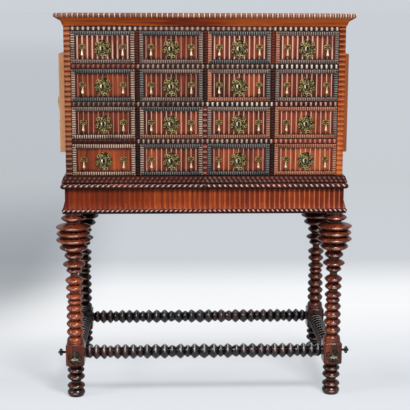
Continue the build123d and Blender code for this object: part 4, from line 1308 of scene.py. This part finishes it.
def pin(side):
    """The end of the bail, turned inwards through the lug."""
    shape = turning(np.array([46.2, 46.8, 56.0]), np.array([1.4, 1.9, 1.9]), 0.7, sides=14)
    return placed(shape, (0, 0, 0), (1, 0, 0), (0, 0, 1), (0, side, 0))


print("faces of a bail:", len(bail().faces))

# %% Two handles and their plates
HANDLE_X = np.mean(span("right_handle"), axis=0)[0]
HANDLE_Z = np.mean(span("handle_plates"), axis=0)[2]
LUG_Y = span("handle_plates")[1][1] - 22


def handle_plates(side):
    """Two scalloped pierced discs, each with the lug that an end of the bail goes into."""
    disc = pierced_plate(44, 44, 7.0, 8, 1.9, rows=1, notch=0.08)
    middle = turning(np.array([0.0, 1.9, 2.4]), np.array([7.4, 7.4, 5.0]), 0.8, sides=24)
    outline = eased([(0, -4), (11, -4), (14.6, -2), (14.6, 2), (11, 4), (0, 4)], 2.0)
    y, x, z = tongue(outline, [-2.5, -2.0, 2.0, 2.5], [0.93, 1, 1, 0.93])
    lug = skin(np.stack([x, y, 0.3 + z], -1), 0.7)
    return [placed(part, (PANEL_X * side, place, HANDLE_Z), (0, 0, 1), (0, 1, 0), (side, 0, 0))
            for place in (-LUG_Y, LUG_Y) for part in (disc, middle, lug)]


for side, name in ((-1, "left"), (1, "right")):
    handle = name + "_handle"
    parts = [placed(part, (HANDLE_X * side, 0, HANDLE_Z)) for part in (bail(), pin(-1), pin(1))]
    piece(name + "_bail", parts, [BRASS_BRIGHT], handle, [handle])
piece("bail_plates", handle_plates(-1) + handle_plates(1), [BRASS], STAND, ["handle_plates"])

# %% [markdown]
# ## Wing bolts
# Iron bolts with pierced, three-lobed heads are screwed through the blocks into the ends of the
# stretchers, so that the stand can be taken apart to travel. A pierced plate lies under the front and
# rear ones. A head could be cut from a solid with booleans, but three rings side by side keep their
# round edges, and each is made as a brass cell is.


# %% A bolt
def lobe(x, z, size, hole):
    """A flat ring about (x, z): its section goes up the hole, over the face and down outside."""
    a = np.linspace(0, 2 * math.pi, 18, endpoint=False)
    distance = np.array([hole, hole, hole + 1, size - 1, size, size, size - 1, hole + 1])[:, None]
    y = np.array([-1.4, 1.4, 2.3, 2.3, 1.3, -1.3, -2.3, -2.3])[:, None]
    net = np.stack([x + distance * np.cos(a), y + 0 * a, z + distance * np.sin(a)], -1)
    return hoop(net, 0.8)


def wing_bolt():
    """The bolt along Z. Its shank starts 34 mm inside the block and its head 11 mm outside it."""
    shank = turning(np.array([-34, -33, 9, 11, 13, 15]), np.array([3, 4, 4, 5, 5, 3.2]), sides=16)
    web = board((-3.4, -2.2, 11), (3.4, 2.2, 20), 1.2)
    return [shank, web, lobe(-7.2, 18.6, 5.6, 1.2), lobe(7.2, 18.6, 5.6, 1.2), lobe(0, 23.6, 5.2, 1.2)]


print("faces of a bolt:", len(joined(wing_bolt()).faces))

# %% Eight bolts and four plates
BOLT_PLATE = pierced_plate(50, 50, 8.0, 8, 1.9, rows=1, notch=0.12)
PLATE_MIDDLE = turning(np.array([0.0, 1.9, 2.6, 4.0]), np.array([8.4, 8.4, 6.4, 5.0]), 0.6, sides=24)
bolts = []
for x in (-1, 1):
    for y in (-1, 1):
        side_face = (x * (LEG_X + BLOCK), y * LEG_Y, LONG_Z)
        bolts += [placed(part, side_face, (0, 0, 1), (0, 1, 0), (x, 0, 0)) for part in wing_bolt()]
        front_face = (x * LEG_X, y * (LEG_Y + BLOCK), SHORT_Z)
        facing = ((1, 0, 0), (0, 0, 1), (0, y, 0))
        for finish, parts in ((2, wing_bolt()), (1, (BOLT_PLATE, PLATE_MIDDLE))):
            bolts += [in_finish(placed(part, front_face, *facing), finish) for part in parts]
piece("bolts_and_plates", bolts, [IRON, BRASS_DARK, IRON_RUBBED], STAND, ["wing_bolts"])

# %% [markdown]
# ## The plain boards
# The case's boards and the shelves inside it are plain solids already, and their shape is right, so
# they only get wood of their own. Drawing them again would gain nothing and could only go wrong.

# %% Wood for the solids that stay
for name, finish in (("case_carcass", CASE_WOOD), ("drawer_dividers", INNER_WOOD)):
    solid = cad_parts[name]
    for holder in solid.material_slots:
        holder.material = finish
    print(name, "keeps its shape and gets", finish.name)

# %% [markdown]
# ## The studio
# The cabinet stands on a pale sweep in soft light, with a large lamp above and in front. The floor
# grows greyer with distance. It is a finish that reads its own place, so no lamp is needed for it, and
# the cabinet's shadow still falls on it because only a part of its brightness glows by itself.

# %% Floor
STUDIO = (204, 209, 216)
# Near 0.145, under the cabinet, the paper is greyer: the cabinet's shadow, painted.
SWEEP = [(0.0, (224, 228, 234)), (0.12, (228, 231, 236)), (0.145, (222, 226, 231)),
         (0.171, (236, 239, 243)), (0.24, (250, 251, 253)), (0.275, (246, 248, 251)),
         (0.335, (206, 211, 217)), (0.6, (203, 208, 213)), (1.0, STUDIO)]


def studio_paper():
    """Paper whose colour follows SWEEP from 1.5 m before the cabinet's middle to 8.5 m behind it.

    A soft patch on the left is greyer. Behind the cabinet the paper glows more and takes less light,
    so that it fades into the studio's own colour.
    """
    paper = Finish("studio paper")
    place = paper.node("ShaderNodeTexCoord", out="Object")
    distance = paper.node("ShaderNodeVectorMath", {"operation": "LENGTH"}, {0: place}, out="Value")
    away = paper.node("ShaderNodeSeparateXYZ", {}, {"Vector": place}, out="Y")
    aside = paper.node("ShaderNodeSeparateXYZ", {}, {"Vector": place}, out="X")
    colour = paper.node("ShaderNodeValToRGB",
                        {"stops": [(stop, paint(*grey)) for stop, grey in SWEEP]},
                        {"Fac": (away + 1.5) * 0.1})
    shaded = (1 - aside.between(-0.9, -0.35)) * distance.between(0.7, 1.7)
    shaded = shaded * (1 - distance.between(1.8, 5.0) * 0.7) * (1 - distance.between(12.0, 60.0))
    colour = paper.blend(shaded * 0.8, colour, paint(140, 147, 152))
    speck = paper.noise(place, 60.0, 2.0)
    paper.done(colour, 0.9 + speck * 0.05, speck, 0.0003, 0.1, sheen=0.1)
    glow = paper.node("ShaderNodeEmission", {}, {"Color": colour, "Strength": 1.0})
    mixed = paper.node("ShaderNodeMixShader", {}, {
        0: (away.between(0.1, 0.6) * 0.32 + 0.65) * paper.seen(),
        1: Number(paper, paper.shader.outputs[0]), 2: glow})
    paper.tree.links.new(mixed.socket, paper.tree.nodes["Material Output"].inputs["Surface"])
    return paper.material


def floor():
    """One wide flat sheet at height nothing, so that the feet stand on it."""
    mesh = bpy.data.meshes.new("studio_floor")
    mesh.from_pydata([(-400, -300, 0), (400, -300, 0), (400, 900, 0), (-400, 900, 0)], [],
                     [(0, 1, 2, 3)])
    mesh.materials.append(studio_paper())
    made = bpy.data.objects.new("studio_floor", mesh)
    bpy.context.scene.collection.objects.link(made)
    print("the floor's finish is", mesh.materials[0].name)


floor()


# %% Light
def lamp(name, place, aim, size, power):
    """A square soft lamp at `place`, in metres, turned to face `aim`."""
    light = bpy.data.lights.new(name, "AREA")
    light.shape, light.size, light.energy = "SQUARE", size, power
    made = bpy.data.objects.new(name, light)
    made.location = place
    made.rotation_euler = (Vector(aim) - Vector(place)).to_track_quat("-Z", "Y").to_euler()
    bpy.context.scene.collection.objects.link(made)
    print(name, "gives", power, "watts")


lamp("lamp above", (0.9, -2.4, 3.7), (0, 0, 0.7), 1.0, 165)
lamp("lamp left", (-3.4, -1.6, 2.2), (0, 0, 0.6), 1.0, 55)
air = Finish("studio air", bpy.data.worlds, "Background")
bpy.context.scene.world = air.material
air.shader.inputs["Color"].default_value = paint(*STUDIO)
air.tree.links.new((air.seen() * 0.72 + 0.28).socket, air.shader.inputs["Strength"])

# %% [markdown]
# ## The camera
# The camera stands a little left of the middle, nearly four metres away and as high as the cornice,
# and looks slightly down. A long lens keeps the uprights upright. Its three directions are worked out
# from the angles and put into one matrix, which says more plainly than three turns where it looks.

# %% Camera
YAW, PITCH, ROLL = math.radians(2.162), math.radians(10.3175), math.radians(0.184)
SPOT = Vector((-0.1347, -3.8187, 1.335))
SENSOR, PICTURE_WIDTH, LENS_IN_PIXELS = 36.0, 410, 1068.2
ahead = Vector((math.sin(YAW) * math.cos(PITCH), math.cos(YAW) * math.cos(PITCH), -math.sin(PITCH)))
right = Vector((math.cos(YAW), -math.sin(YAW), 0))
over = right.cross(ahead)
right, over = (math.cos(ROLL) * right + math.sin(ROLL) * over,
               math.cos(ROLL) * over - math.sin(ROLL) * right)
lens = bpy.data.cameras.new("studio camera")
lens.sensor_width, lens.lens = SENSOR, LENS_IN_PIXELS * SENSOR / PICTURE_WIDTH
camera = bpy.data.objects.new("studio camera", lens)
camera.matrix_world = Matrix([*zip(right, over, -ahead, SPOT), (0, 0, 0, 1)])
bpy.context.scene.collection.objects.link(camera)
bpy.context.scene.camera = camera
bpy.context.scene.view_settings.view_transform = "Standard"
print("lens:", round(lens.lens, 1), "mm")
